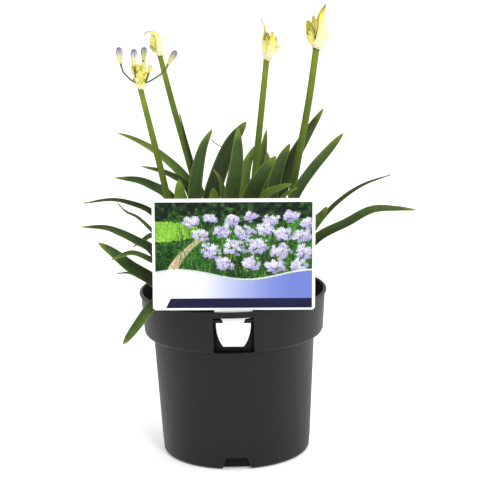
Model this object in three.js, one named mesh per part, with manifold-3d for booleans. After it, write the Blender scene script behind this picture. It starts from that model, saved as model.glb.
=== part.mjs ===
// Agapanthus in a round nursery pot: fans of strap leaves, four flower scapes in different stages
// of opening, potting mix, and a picture card whose tab hangs in the pot's label pocket.
// Millimetres, +Z up. The origin is the centre of the pot's flat underside; -Y is the card's side.
import * as THREE from 'three';
import { mergeVertices } from 'three/addons/utils/BufferGeometryUtils.js';
import Module from 'manifold-3d';

const wasm = await Module();
wasm.setup();

// ---------------------------------------------------------------------------------------------
// Driving dimensions
// ---------------------------------------------------------------------------------------------
const GAP = 0.4; // clear space between pieces that touch

const POT = {
  height: 146,
  wall: 1.2,
  floor: 1.8,
  lip: 82.5, // outer radius of the bead at the very top
  lipHeight: 2.5,
  collarTop: 81.1,
  collarFoot: 79,
  step: 108, // underside of the collar
  stepRound: 3.7,
  bodyTop: 71.1,
  bodyFoot: 65.3,
  footRound: 4.2,
  segments: 72,
};

// A recess in the collar at the front, with a slot behind the lip for the card's tab.
const POCKET = { half: 17.2, wall: 1.2, back: 71.6, bridge: 5.3, floor: 109.4 };
const LUG = { reach: 10, z: 136.7, height: 1.6, depth: 3, y: -76 };

// Drain mouths where the wall meets the underside, and small holes in the floor.
const DRAIN = {
  mouths: 4,
  topHalf: 9,
  footHalf: 14,
  height: 11,
  reach: 56,
  holes: 4,
  hole: 4, // radius of a hole in the floor
  ring: 36, // radius of the circle that the holes lie on
};

const SOIL = { surface: 124, relief: 1.4, segments: 48, rings: 6 };

const CARD = {
  width: 136.2,
  height: 95.7,
  corner: 3,
  thickness: 0.7,
  y: -77.4, // middle of its thickness
  bottom: 147.4,
  turn: -1.1, // degrees in its own plane
  shift: 0.6, // middle of the picture from the middle of the tab
  tab: 32,
  shoulder: 29.4,
  shoulderZ: 135.8,
  neck: 17,
  neckZ: 139.6,
  foot: 17.4,
  footZ: 115.3,
};

// Each shoot is a fan of leaves in two ranks along `plane`, in degrees from +X.
const SHOOTS = {
  left: { x: -31, y: -20, plane: 200 },
  corner: { x: -37, y: -33, plane: 205 },
  front: { x: -11, y: -44, plane: 176 },
  middle: { x: 6, y: -6, plane: 10 },
  back: { x: -10, y: 14, plane: 185 },
  right: { x: 34, y: 8, plane: 8 },
  rear: { x: 18, y: 44, plane: 75 },
  far: { x: -14, y: 48, plane: 110 },
};
const ROOT_Z = 117; // foot of leaves and scapes, in holes in the potting mix
const FIRST_RANK = 5; // leaves the middle of a fan free for its scape
const RANK_STEP = 2;
// A shoot's hole: its round ends start `overlap` inside the outermost leaf.
const HOLE = { radius: 7.4, overlap: 1, below: 1.5 };

const LEAF = {
  stations: 11,
  crowding: 1.4, // how much closer together the stations are towards the tip
  edge: 0.6,
  rib: 1.3,
  base: 0.6,
  widest: 0.5,
  roundness: 0.6,
  tip: 1.2,
};

// Shoot, rank (its sign is the side of the fan), the points that the midrib passes through up to
// the tip, the widest width, where the blade's upper face looks (azimuth from +X and elevation),
// and how late it narrows: 2 is a long point, 5 a blunt tip.
const LEAVES = [
  ['left', 1, [[-58, -8, 188], [-70, -6, 202], [-82, -7, 214], [-91, -8, 219], [-98, -10, 227]], 4,
    [-110, 40], 1.7],
  ['left', 2, [[-69, -32, 190], [-82, -34, 199], [-95, -38, 207], [-106, -40, 212], [-127, -42, 214]], 10,
    [-80, 50], 1.5],
  ['left', 3, [[-56, -30, 147], [-87, -42, 172], [-98, -48, 174]], 4, [-80, 50], 1.7],
  ['left', -1, [[-31, 0, 228], [-30, 3, 243], [-23, 12, 271], [-15, 18, 285]], 13, [-90, 10], 2.4],
  ['left', -2, [[-17, 4, 226], [-13, 10, 239], [1, 26, 270], [15, 36, 288]], 15, [-90, 10], 4.1],
  ['corner', 1, [[-54, -43, 152], [-69, -48, 168], [-86, -54, 181], [-100, -60, 195], [-112, -64, 205]], 11,
    [-80, 20], 2.7],
  ['corner', 2, [[-61, -53, 151], [-69, -62, 148], [-83, -67, 131], [-94, -68, 117]], 9, [-90, 40], 4.1],
  ['front', 1, [[-14, -56, 240], [-14, -62, 249]], 11, [-90, 10], 5.1],
  ['front', 2, [[-42, -50, 239], [-43, -52, 255]], 14, [-90, 10], 4.1],
  ['front', -1, [[1, -46, 236], [6, -48, 267], [8, -48, 298]], 14, [-90, 0], 2.9],
  ['front', -2, [[18, -42, 237], [27, -46, 256], [39, -50, 273]], 16, [-90, 10], 3.2],
  ['front', -3, [[29, -34, 235], [42, -38, 243], [52, -42, 247]], 9, [-90, 40], 4.1],
  ['front', -4, [[45, -34, 234], [57, -38, 243]], 6, [-90, 40], 3.2],
  ['front', 3, [[-50, -58, 190], [-60, -62, 210]], 9, [-80, 30], 2.4],
  ['front', 4, [[-58, -60, 182], [-69, -62, 189], [-84, -66, 196], [-94, -68, 194], [-101, -69, 191]], 7,
    [-80, 50], 2.4],
  ['middle', 1, [[22, 5, 170], [38, 12, 235], [44, 16, 254], [53, 22, 270]], 12, [-90, 10], 4.1],
  ['middle', 2, [[56, -4, 229], [73, 0, 253], [83, 2, 264], [99, 6, 281]], 9, [-90, 20], 5.1],
  ['middle', -1, [[-5, -20, 222], [-7, -22, 242], [-9, -22, 250], [-14, -22, 257]], 8, [-90, 20], 1.9],
  ['back', 1, [[-20, 17, 182], [-37, 21, 237], [-61, 22, 263], [-81, 23, 276], [-97, 22, 283]], 10,
    [-80, 50], 2.1],
  ['back', 2, [[-28, 9, 190], [-38, 12, 236], [-55, 12, 248], [-77, 12, 255]], 9, [-80, 50], 2.1],
  ['back', 3, [[-38, 0, 190], [-54, -4, 231], [-69, -8, 242], [-80, -10, 247], [-99, -12, 250]], 12,
    [-80, 40], 1.7],
  ['back', 4, [[-47, 16, 176], [-70, 14, 213], [-89, 18, 221], [-104, 20, 224], [-130, 22, 221]], 7,
    [-80, 50], 1.3],
  ['back', 5, [[-46, 4, 164], [-60, 4, 188], [-70, 6, 194], [-78, 6, 190], [-87, 6, 184]], 7,
    [-80, 40], 2.1],
  ['back', -1, [[11, 20, 234], [15, 24, 252], [22, 30, 267]], 12, [-90, 0], 3.2],
  ['back', -2, [[27, 34, 240], [30, 38, 262], [33, 42, 279]], 9, [-90, 10], 3.2],
  ['right', 1, [[47, 13, 160], [74, 4, 203], [80, 3, 210], [84, 2, 217]], 10, [-90, 40], 5.1],
  ['right', 2, [[61, -6, 172], [74, -6, 190], [101, -13, 206], [123, -18, 218], [143, -22, 219],
    [159, -24, 218]], 10, [-90, 50], 2.1],
  ['right', 3, [[64, 18, 178], [90, 24, 212], [117, 29, 230], [142, 32, 238]], 5, [-100, 50], 1.7],
  ['right', -1, [[33, 30, 252], [33, 32, 261]], 10, [-90, 10], 5.1],
  ['rear', -1, [[51, 40, 242], [68, 45, 272], [84, 49, 296]], 13, [90, 12], 2.4],
  ['rear', -2, [[-14, 28, 200], [-28, 26, 236], [-36, 26, 266], [-43, 26, 298]], 4, [90, 0], 1.7],
  ['rear', 1, [[24, 78, 190], [36, 108, 196], [52, 136, 180]], 11, [-105, 50], 2.4],
  ['rear', 2, [[30, 82, 160], [44, 106, 150], [52, 116, 128]], 10, [-110, 50], 2.4],
  ['far', 1, [[-34, 84, 176], [-58, 110, 168]], 10, [-60, 50], 2.4],
  ['far', 2, [[-18, 82, 152], [-24, 98, 150], [-30, 110, 124]], 9, [-80, 50], 2.4],
  ['far', -1, [[-8, 56, 190], [-20, 62, 206]], 8, [90, 10], 3.2],
];

// Scapes: foot, points along it, the top, which is where its flower head starts, and the radius
// at foot and top.
const SCAPES = [
  { foot: [-31, -20], along: [[-57, -27, 250]], top: [-74, -30, 331], radii: [3.3, 2.3] },
  { foot: [-5, 30], along: [[-35, 29, 250], [-50, 31, 310]], top: [-59, 34, 349], radii: [3.2, 2.25] },
  { foot: [6, -6], along: [[23, 16, 255]], top: [34, 22, 344], radii: [3.3, 2.5] },
  { foot: [34, 8], along: [[56, 9, 240], [70, 12, 310]], top: [77, 14, 354], radii: [3.2, 2.85] },
];
const SCAPE = { sides: 10, stations: 8, hole: 5.2 };

// Spathes with their packed buds, from the scape's top. A valve is one of the two bracts of a
// spathe: points up its middle with radius and half angle of the shell, and `spine`, the way its
// closed side faces, in degrees from +X. A bud has its foot, tip and width.
const SPATHE_WALL = 0.8;
const HEADS = [
  {
    scape: 2,
    valves: [
      {
        spine: -2,
        rows: [[0, 0, 0.8, 3.2, 160], [-0.2, 0, 6, 3.8, 128], [-1.2, 0, 12, 4, 112], [-3.2, 0, 17, 3.4, 96],
          [-7, 0, 19.8, 2.1, 80], [-10.6, 0, 20, 1.2, 70], [-13, 0, 17.8, 0.8, 60]],
      },
    ],
    core: 9,
    buds: [
      [[-0.6, -0.4, 3], [-8.6, -1, 9], 4],
      [[-0.6, -0.5, 4], [-8, -1.4, 13], 3.8],
      [[-0.6, 0, 4], [-7.6, -0.4, 16], 3.8],
      [[-0.6, 0.4, 4], [-7.4, 1.6, 11.4], 3.8],
      [[-0.6, -0.6, 3], [-6.6, -2.4, 7], 3.4],
      [[-0.6, 0, 2.4], [-7, 0.4, 5.4], 3],
    ],
  },
  {
    scape: 3,
    valves: [
      {
        spine: 152,
        rows: [[0.2, 0, 1.4, 3.2, 165], [1.2, 0, 6, 4.4, 112], [1.2, 0, 11, 5.2, 80], [1, 0, 16, 5.2, 70],
          [0.6, 0, 20.6, 4.3, 68], [0.2, 0, 24.5, 2.5, 72], [-0.4, 0, 28, 1.4, 70],
          [-1.6, 0, 32, 1.1, 65], [-4, 0, 36.5, 0.8, 60]],
      },
      {
        spine: -75,
        rows: [[0.4, 0, 1.6, 3.3, 80], [2.6, -0.6, 6, 4, 72], [4.2, -0.8, 12, 4, 65],
          [4.8, -0.8, 17.4, 3.2, 60], [5, -0.6, 22, 2, 60], [5.4, -0.2, 25, 0.8, 60]],
      },
    ],
    core: 9,
    buds: [
      [[0.8, 0.8, 3], [12, 3.4, 12.6], 4.2],
      [[0.6, 0.8, 4], [9.4, 2.6, 20.4], 3.8],
      [[0, 0.4, 4], [1.6, 0.8, 24.6], 3.8],
      [[0, 0, 4], [-1.2, -0.6, 20.6], 3.2],
      [[0.4, 0.2, 4], [1.4, -1.2, 19], 3.2],
      [[0.6, 0.6, 4], [5, 2.2, 23], 3.8],
      [[0, -0.2, 3], [-1.4, -1.6, 15], 3],
    ],
  },
  {
    scape: 4,
    valves: [
      {
        spine: 5,
        rows: [[0.4, 0, 1.4, 4, 150], [2.4, 0, 8, 6.4, 130], [3.6, 0, 16, 6.4, 118],
          [3, 0, 23.4, 4.9, 110], [3.6, 0, 28, 3.9, 112], [5.2, 0, 32.6, 2.8, 110],
          [6.9, 0, 36, 1.9, 100], [8.4, 0, 38.6, 0.8, 80]],
      },
      {
        spine: 100,
        rows: [[0, 0, 1.4, 3.6, 50], [-0.8, -0.8, 5, 3.6, 60], [-3.4, -2.6, 10, 3.7, 85],
          [-4.4, -3.4, 15, 4.3, 100], [-5.6, -3, 20, 3.8, 105], [-6.6, -2.4, 23.2, 2.4, 90],
          [-7.8, -2, 25.4, 0.8, 60]],
      },
    ],
    core: 8,
    buds: [
      [[1.4, 0.4, 4], [-2.6, 2.8, 29], 3.6],
      [[1, 0, 4], [0.6, 0, 26], 3.8],
      [[-0.8, -1, 3], [-6.4, -4.6, 17], 3.6],
      [[-0.8, -0.8, 2], [-7.2, -3.8, 9.4], 3.4],
      [[-0.8, -1, 3], [-8, -5, 13], 3.6],
      [[-0.6, -0.8, 4], [-5.2, -3.6, 21], 3.2],
    ],
  },
];

// ---------------------------------------------------------------------------------------------
// Materials
// ---------------------------------------------------------------------------------------------
const paint = (color, roughness) => new THREE.MeshStandardMaterial({ color, roughness, metalness: 0 });
const MATERIAL = {
  pot: paint('#30302e', 0.55),
  soil: paint('#3a2a1e', 1),
  card: paint('#f4f4f2', 0.4),
  leaf: paint('#3f6526', 0.5),
  scape: paint('#7f9a2a', 0.5),
  spathe: paint('#e6e06a', 0.55),
  bud: paint('#c9c84e', 0.55),
};

// ---------------------------------------------------------------------------------------------
// Geometry helpers
// ---------------------------------------------------------------------------------------------
const { Vector2, Vector3 } = THREE;
const UP = new Vector3(0, 0, 1);
const radians = THREE.MathUtils.degToRad;
const heading = (degrees) => new Vector3(Math.cos(radians(degrees)), Math.sin(radians(degrees)), 0);
const smooth = (x) => THREE.MathUtils.smoothstep(x, 0, 1);

// A closed mesh as a solid for booleans; slivers with two like corners are dropped.
function toSolid(geometry) {
  const bare = geometry.index ? geometry.clone() : geometry;
  bare.deleteAttribute('normal');
  bare.deleteAttribute('uv');
  const merged = mergeVertices(bare, 1e-4);
  const corners = merged.index.array;
  const kept = [];
  for (let i = 0; i < corners.length; i += 3) {
    const [a, b, c] = corners.slice(i, i + 3);
    if (a !== b && b !== c && c !== a) kept.push(a, b, c);
  }
  const vertProperties = merged.attributes.position.array;
  return new wasm.Manifold(new wasm.Mesh({ numProp: 3, vertProperties, triVerts: new Uint32Array(kept) }));
}

function toGeometry(solid) {
  const mesh = solid.getMesh();
  const geometry = new THREE.BufferGeometry();
  geometry.setAttribute('position', new THREE.BufferAttribute(mesh.vertProperties, 3));
  geometry.setIndex(new THREE.BufferAttribute(mesh.triVerts, 1));
  return geometry;
}

const join = (solids) => solids.reduce((whole, piece) => whole.add(piece));

function box(low, high) {
  const size = high.map((value, i) => value - low[i]);
  const middle = high.map((value, i) => (value + low[i]) / 2);
  return toSolid(new THREE.BoxGeometry(...size).translate(...middle));
}

// A profile of [radius, height] points turned about +Z, going up the outside.
function turned(profile, segments) {
  const points = profile.map(([radius, height]) => new Vector2(radius, height));
  return toSolid(new THREE.LatheGeometry(points, segments).rotateX(Math.PI / 2));
}

// An outline in X and Z pulled along Y, from `front` back by `depth`.
function pulled(shape, front, depth, curveSegments = 6) {
  const geometry = new THREE.ExtrudeGeometry(shape, { depth, bevelEnabled: false, curveSegments });
  return toSolid(geometry.rotateX(Math.PI / 2).translate(0, front + depth, 0));
}

function meshFrom(points, triangles) {
  const geometry = new THREE.BufferGeometry().setFromPoints(points);
  geometry.setIndex(triangles);
  return geometry;
}

// Rings of equally many points, joined side to side and capped at both ends.
function loft(rings) {
  const count = rings[0].length;
  const last = (rings.length - 1) * count;
  const triangles = [];
  for (let ring = 0; ring < last; ring += count) {
    for (let k = 0; k < count; k++) {
      const next = (k + 1) % count;
      triangles.push(ring + k, ring + next, ring + count + next);
      triangles.push(ring + k, ring + count + next, ring + count + k);
    }
  }
  for (let k = 1; k < count - 1; k++) {
    triangles.push(0, k + 1, k);
    triangles.push(last, last + k, last + k + 1);
  }
  return meshFrom(rings.flat(), triangles);
}

// Two like grids of points, the two faces of a thin sheet, split into triangles alike on both
// and closed along the four borders.
function sheet(face, back) {
  const rows = face.length;
  const columns = face[0].length;
  const offset = rows * columns;
  const at = (i, k) => i * columns + k;
  const triangles = [];
  const border = (a, b) => triangles.push(a, b, b + offset, a, b + offset, a + offset);
  for (let i = 0; i < rows - 1; i++) {
    for (let k = 0; k < columns - 1; k++) {
      const [a, b, c, d] = [at(i, k), at(i, k + 1), at(i + 1, k + 1), at(i + 1, k)];
      triangles.push(a, b, c, a, c, d);
      triangles.push(a + offset, c + offset, b + offset, a + offset, d + offset, c + offset);
    }
    border(at(i, 0), at(i + 1, 0));
    border(at(i + 1, columns - 1), at(i, columns - 1));
  }
  for (let k = 0; k < columns - 1; k++) {
    border(at(0, k + 1), at(0, k));
    border(at(rows - 1, k), at(rows - 1, k + 1));
  }
  return meshFrom([...face.flat(), ...back.flat()], triangles);
}

// Points along a curve with axes carried from one to the next without twisting.
function carried(curve, shares, start) {
  let tangent = curve.getTangent(shares[0]);
  const side = start.clone().projectOnPlane(tangent).normalize();
  return shares.map((t) => {
    const next = curve.getTangent(t);
    side.applyQuaternion(new THREE.Quaternion().setFromUnitVectors(tangent, next));
    side.projectOnPlane(next).normalize();
    tangent = next;
    return { t, point: curve.getPoint(t), side: side.clone(), across: next.clone().cross(side) };
  });
}

const steps = (count) => Array.from({ length: count + 1 }, (_, i) => i / count);

// A round stem along a curve, its radius going evenly from foot to top.
function stem(curve, foot, top, sides, stations) {
  const rings = carried(curve, steps(stations), new Vector3(1, 0, 0)).map(({ t, point, side, across }) => {
    const radius = foot + (top - foot) * t;
    return steps(sides).slice(0, sides).map((turn) => point.clone()
      .addScaledVector(side, radius * Math.cos(2 * Math.PI * turn))
      .addScaledVector(across, radius * Math.sin(2 * Math.PI * turn)));
  });
  return loft(rings);
}

// ---------------------------------------------------------------------------------------------
// Pot
// ---------------------------------------------------------------------------------------------
// Points of a quarter round from angle `from` to `to`, in degrees, about [radius, height].
function round([radius, height], size, from, to, count = 4) {
  return steps(count).map((t) => {
    const angle = radians(from + (to - from) * t);
    return [radius + size * Math.cos(angle), height + size * Math.sin(angle)];
  });
}

function potOutside() {
  const { step, stepRound, footRound, bodyFoot, bodyTop, collarFoot, collarTop } = POT;
  const { height, lipHeight, lip } = POT;
  const bead = lipHeight / 2;
  return [
    [0, 0],
    ...round([bodyFoot - footRound, footRound], footRound, -90, 0),
    [bodyTop, step],
    ...round([collarFoot - stepRound, step + stepRound], stepRound, -90, 0),
    [collarTop, height - lipHeight],
    ...round([lip - bead, height - bead], bead, -60, 90),
  ];
}

function potInside() {
  const { wall, floor, height, step, stepRound, footRound } = POT;
  const { bodyFoot, bodyTop, collarFoot, collarTop } = POT;
  const inner = stepRound - wall;
  return [
    [collarTop - wall, height],
    [collarFoot - wall, step + stepRound],
    ...round([collarFoot - stepRound, step + stepRound], inner, -30, -90, 2),
    [bodyTop - wall, step + wall],
    [bodyFoot - wall, footRound + wall],
    [bodyFoot - footRound, floor],
    [0, floor],
  ];
}

function drainMouth() {
  const { topHalf, footHalf, height } = DRAIN;
  const shape = new THREE.Shape();
  shape.moveTo(-footHalf, -1);
  shape.lineTo(footHalf, -1);
  shape.lineTo(footHalf - 2, 2);
  shape.lineTo(topHalf, height);
  shape.lineTo(-topHalf, height);
  shape.lineTo(-footHalf + 2, 2);
  return pulled(shape, -POT.bodyTop, POT.bodyTop - DRAIN.reach);
}

function pot() {
  const { half, wall, back, bridge, floor } = POCKET;
  const top = POT.height;
  const front = -POT.lip - 1;
  const core = (foot, rim, height) => {
    return turned([[0, 0], [foot, 0], [rim, height], [0, height]], POT.segments);
  };
  const below = core(back, back, top + 2);
  const behind = core(back - wall, back - wall, top + 2);
  const within = core(POT.collarFoot - 0.3, POT.collarTop - 0.3, top);
  const slot = core(POT.collarTop - wall, POT.collarTop - wall, top + 2);

  let body = turned([...potOutside(), ...potInside()], POT.segments);
  const block = box([-half - wall, front, floor - wall - 0.3], [half + wall, 0, top]);
  body = body.add(block.subtract(behind).intersect(within));
  body = body.subtract(box([-half, front, floor], [half, 0, top - bridge]).subtract(below));
  body = body.subtract(box([-half, front, floor], [half, 0, top + 1]).intersect(slot).subtract(below));
  for (const side of [-1, 1]) {
    const inner = side * LUG.reach;
    const outer = side * (half + wall / 2);
    const low = [Math.min(inner, outer), LUG.y - LUG.depth / 2, LUG.z];
    body = body.add(box(low, [Math.max(inner, outer), low[1] + LUG.depth, LUG.z + LUG.height]));
  }
  for (let i = 0; i < DRAIN.mouths; i++) {
    body = body.subtract(drainMouth().rotate([0, 0, (360 / DRAIN.mouths) * i]));
  }
  const hole = turned([[0, -1], [DRAIN.hole, -1], [DRAIN.hole, POT.floor + 1], [0, POT.floor + 1]], 16);
  for (let i = 0; i < DRAIN.holes; i++) {
    const place = heading((360 / DRAIN.holes) * (i + 0.5)).multiplyScalar(DRAIN.ring);
    body = body.subtract(hole.translate([place.x, place.y, 0]));
  }
  return toGeometry(body);
}

// ---------------------------------------------------------------------------------------------
// Potting mix
// ---------------------------------------------------------------------------------------------
// Low mounds and hollows of the surface, as a height above SOIL.surface.
function relief(x, y) {
  const swell = Math.sin(x / 9 + 1.3) * Math.cos(y / 11 - 0.4) + 0.6 * Math.sin((x - y) / 6);
  return SOIL.relief * swell * 0.6;
}

function mixPlug() {
  const { wall, floor, height, step, footRound } = POT;
  const { bodyFoot, bodyTop, collarFoot, collarTop } = POT;
  const taper = (collarTop - collarFoot) / (height - step);
  const edge = collarFoot - wall - GAP + taper * (SOIL.surface - step);
  const inside = [
    [bodyFoot - footRound - 1, floor + GAP],
    [bodyFoot - wall - GAP, footRound + wall + 1],
    [bodyTop - wall - GAP, step + wall - 1],
    [bodyTop - wall - GAP, step + wall + GAP],
    [collarFoot - POT.stepRound, step + wall + GAP],
    [collarFoot - wall - GAP - 0.1, step + POT.stepRound],
  ];
  const ringAt = (radius, height) => steps(SOIL.segments).slice(0, SOIL.segments).map((turn) => {
    const point = heading(360 * turn).multiplyScalar(radius);
    return point.setZ(height ?? SOIL.surface + relief(point.x, point.y));
  });
  const rings = inside.map(([radius, z]) => ringAt(radius, z));
  for (let i = 0; i < SOIL.rings; i++) rings.push(ringAt(edge * (1 - (i / SOIL.rings) ** 1.1)));
  return toSolid(loft(rings));
}

// The hole that one fan of leaves and its scape stand in.
function shootHole(shoot) {
  const { x, y, plane } = SHOOTS[shoot];
  const ranks = LEAVES.filter(([name]) => name === shoot).map(([, rank]) => rank);
  const reach = (side) => {
    const furthest = Math.max(1, ...ranks.map((rank) => rank * side));
    return FIRST_RANK + RANK_STEP * (furthest - 1) - HOLE.overlap;
  };
  const shape = new THREE.Shape();
  shape.moveTo(-reach(-1), -HOLE.radius);
  shape.absarc(reach(1), 0, HOLE.radius, -Math.PI / 2, Math.PI / 2);
  shape.absarc(-reach(-1), 0, HOLE.radius, Math.PI / 2, 1.5 * Math.PI);
  const depth = SOIL.surface + 6 - ROOT_Z + HOLE.below;
  const geometry = new THREE.ExtrudeGeometry(shape, { depth, bevelEnabled: false, curveSegments: 6 });
  geometry.rotateZ(radians(plane)).translate(x, y, ROOT_Z - HOLE.below);
  return toSolid(geometry);
}

function pottingMix() {
  const { half, wall, back, floor } = POCKET;
  const side = half + wall + GAP;
  const clear = turned([[0, 0], [back - wall - GAP, 0], [back - wall - GAP, 200], [0, 200]], POT.segments);
  const pocket = box([-side, -90, floor - wall - 0.3 - GAP], [side, -40, 200]).subtract(clear);
  let mix = mixPlug().subtract(pocket);
  for (const shoot of Object.keys(SHOOTS)) mix = mix.subtract(shootHole(shoot));
  const hole = turned([[0, 0], [SCAPE.hole, 0], [SCAPE.hole, 20], [0, 20]], 16);
  for (const { foot } of SCAPES) mix = mix.subtract(hole.translate([...foot, ROOT_Z - HOLE.below]));
  return toGeometry(mix);
}

// ---------------------------------------------------------------------------------------------
// Card
// ---------------------------------------------------------------------------------------------
function card() {
  const { width, height, corner, bottom, shift } = CARD;
  const { tab, shoulder, shoulderZ, neck, neckZ, foot, footZ } = CARD;
  const top = bottom + height;
  const right = shift + width / 2 - corner;
  const left = shift - width / 2 + corner;
  const shape = new THREE.Shape();
  shape.moveTo(-foot / 2, footZ);
  shape.lineTo(foot / 2, footZ);
  shape.quadraticCurveTo(shoulder / 2, footZ + 8, shoulder / 2, shoulderZ);
  shape.lineTo(neck / 2, shoulderZ);
  shape.lineTo(neck / 2 + 1.6, neckZ);
  shape.lineTo(tab / 2, neckZ + 1);
  shape.lineTo(tab / 2, bottom);
  shape.lineTo(right, bottom);
  shape.absarc(right, bottom + corner, corner, -Math.PI / 2, 0);
  shape.absarc(right, top - corner, corner, 0, Math.PI / 2);
  shape.absarc(left, top - corner, corner, Math.PI / 2, Math.PI);
  shape.absarc(left, bottom + corner, corner, Math.PI, 1.5 * Math.PI);
  shape.lineTo(-tab / 2, bottom);
  shape.lineTo(-tab / 2, neckZ + 1);
  shape.lineTo(-neck / 2 - 1.6, neckZ);
  shape.lineTo(-neck / 2, shoulderZ);
  shape.lineTo(-shoulder / 2, shoulderZ);
  shape.quadraticCurveTo(-shoulder / 2, footZ + 8, -foot / 2, footZ);
  const turn = new THREE.Matrix4().makeRotationY(radians(-CARD.turn));
  const lift = new THREE.Matrix4().makeTranslation(0, 0, shoulderZ);
  const drop = new THREE.Matrix4().makeTranslation(0, 0, -shoulderZ);
  const geometry = toGeometry(pulled(shape, CARD.y - CARD.thickness / 2, CARD.thickness));
  return geometry.applyMatrix4(lift.multiply(turn).multiply(drop));
}

// ---------------------------------------------------------------------------------------------
// Leaves
// ---------------------------------------------------------------------------------------------
// Share of the widest width at a share t of the leaf's length.
function leafWidth(t, taper) {
  const rise = LEAF.base + (1 - LEAF.base) * smooth(t / LEAF.widest);
  const past = Math.max(0, (t - LEAF.widest) / (1 - LEAF.widest));
  return rise * (1 - past ** taper) ** LEAF.roundness;
}

function leaf([shoot, rank, through, width, [azimuth, elevation], taper]) {
  const { x, y, plane } = SHOOTS[shoot];
  const outward = heading(plane).multiplyScalar(Math.sign(rank));
  const root = new Vector3(x, y, ROOT_Z);
  root.addScaledVector(outward, FIRST_RANK + RANK_STEP * (Math.abs(rank) - 1));
  const curve = new THREE.CatmullRomCurve3([root, ...through.map((point) => new Vector3(...point))]);
  const blade = heading(azimuth).multiplyScalar(Math.cos(radians(elevation)));
  blade.setZ(Math.sin(radians(elevation)));
  const upper = [];
  const lower = [];
  for (const step of steps(LEAF.stations)) {
    const t = 1 - (1 - step) ** LEAF.crowding;
    const point = curve.getPointAt(t);
    const along = curve.getTangentAt(t);
    const turned = smooth(t / 0.6);
    const face = outward.clone().negate().lerp(blade, turned).projectOnPlane(along).normalize();
    const side = face.clone().cross(along);
    const half = Math.max(LEAF.tip, width * leafWidth(t, taper)) / 2;
    const fold = half * (0.45 - 0.3 * turned);
    const rib = LEAF.edge + (LEAF.rib - LEAF.edge) * ((2 * half) / width) * (1 - 0.5 * t);
    const section = (sideways, lift) => point.clone()
      .addScaledVector(side, sideways)
      .addScaledVector(face, lift);
    const top = LEAF.edge / 2;
    upper.push([section(-half, fold + top), section(0, top), section(half, fold + top)]);
    lower.push([section(-half, fold - top), section(0, top - rib), section(half, fold - top)]);
  }
  return sheet(lower, upper);
}

// ---------------------------------------------------------------------------------------------
// Scapes and flower heads
// ---------------------------------------------------------------------------------------------
function scape({ foot, along, top, radii }) {
  const points = [[...foot, ROOT_Z], ...along, top];
  const curve = new THREE.CatmullRomCurve3(points.map((point) => new Vector3(...point)));
  return stem(curve, ...radii, SCAPE.sides, SCAPE.stations);
}

// A closed bud from its foot to its tip, six-sided, widest past the middle.
function bud(from, to, width) {
  const way = to.clone().sub(from);
  const length = way.length();
  const half = width / 2;
  const profile = [[0, 0], [half * 0.5, length * 0.06], [half * 0.8, length * 0.35], [half, length * 0.62],
    [half * 0.72, length * 0.88], [0, length]];
  const turn = new THREE.Matrix4().makeRotationFromQuaternion(
    new THREE.Quaternion().setFromUnitVectors(UP, way.normalize()),
  );
  turn.setPosition(from);
  const points = profile.map(([radius, height]) => new Vector2(radius, height));
  const geometry = new THREE.LatheGeometry(points, 6).rotateX(Math.PI / 2).applyMatrix4(turn);
  return toSolid(geometry);
}

function stalk(points, radius) {
  const curve = new THREE.CatmullRomCurve3(points.map((point) => new Vector3(...point)));
  return toSolid(stem(curve, radius, radius, 5, 5));
}

// The open umbel, from the scape's top: stalked buds round a core of young ones.
const STALKED = [
  {
    stalk: [[0, 0, 2], [-6.6, -1.6, 5.9], [-10.6, -2.8, 9.9], [-13.7, -3.6, 14.3], [-15.4, -4, 21]],
    bud: [[-15.4, -4, 20], [-16.4, -5, 35]],
    width: 6.2,
  },
  { stalk: [[0, 0, 2], [-3, -3, 9], [-4, -7, 20]], bud: [[-4, -7, 18.6], [-3.6, -9, 33.6]], width: 6.4 },
  { stalk: [[0, 0, 2], [2, 4, 10], [3.4, 7, 22]], bud: [[3.4, 7, 20], [4.2, 8, 33]], width: 5.8 },
  { stalk: [[0, 0, 2], [5, -2, 5], [8, -3, 12.4]], bud: [[8, -3, 11.6], [9.8, -3, 19]], width: 4.4 },
  {
    stalk: [[0, 0, 2], [6.9, 1, 4.1], [12.8, 2, 7.1], [18.2, 2.6, 10.5], [21.9, 3.4, 14.1], [24, 4, 18.2]],
    bud: [[23.4, 4, 17.2], [31.4, 5, 29.6]],
    width: 6,
  },
];
const YOUNG = { count: 9, length: 9, width: 4.6 };

function openUmbel() {
  const core = turned([[0, 0.8], [2.6, 0.8], [4, 4], [4.4, 9], [3, 14], [0, 16]], 8);
  const pieces = [core];
  for (const { stalk: points, bud: ends, width } of STALKED) {
    pieces.push(stalk(points, 0.7));
    pieces.push(bud(new Vector3(...ends[0]), new Vector3(...ends[1]), width));
  }
  for (let i = 0; i < YOUNG.count; i++) {
    const out = heading(137.5 * i);
    const rise = 4 + 9 * (i / YOUNG.count);
    const from = out.clone().multiplyScalar(2).setZ(rise);
    const to = out.clone().multiplyScalar(7.5 - 3.5 * (i / YOUNG.count)).setZ(rise + YOUNG.length);
    pieces.push(bud(from, to, YOUNG.width));
  }
  return toGeometry(join(pieces));
}

// Buds packed round a core inside an opening spathe, and clear of its valves.
function packedBuds({ valves, core, buds }) {
  const profile = [[0, 0.8], [1.6, 0.8], [2, core * 0.4], [1.2, core * 0.8], [0, core]];
  const pieces = [turned(profile, 8)];
  for (const [from, to, width] of buds) pieces.push(bud(new Vector3(...from), new Vector3(...to), width));
  const cut = join(pieces).subtract(join(valves.map((row) => valve(row, 0.3))));
  return toGeometry(cut.decompose().sort((a, b) => b.volume() - a.volume())[0]);
}

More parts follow.
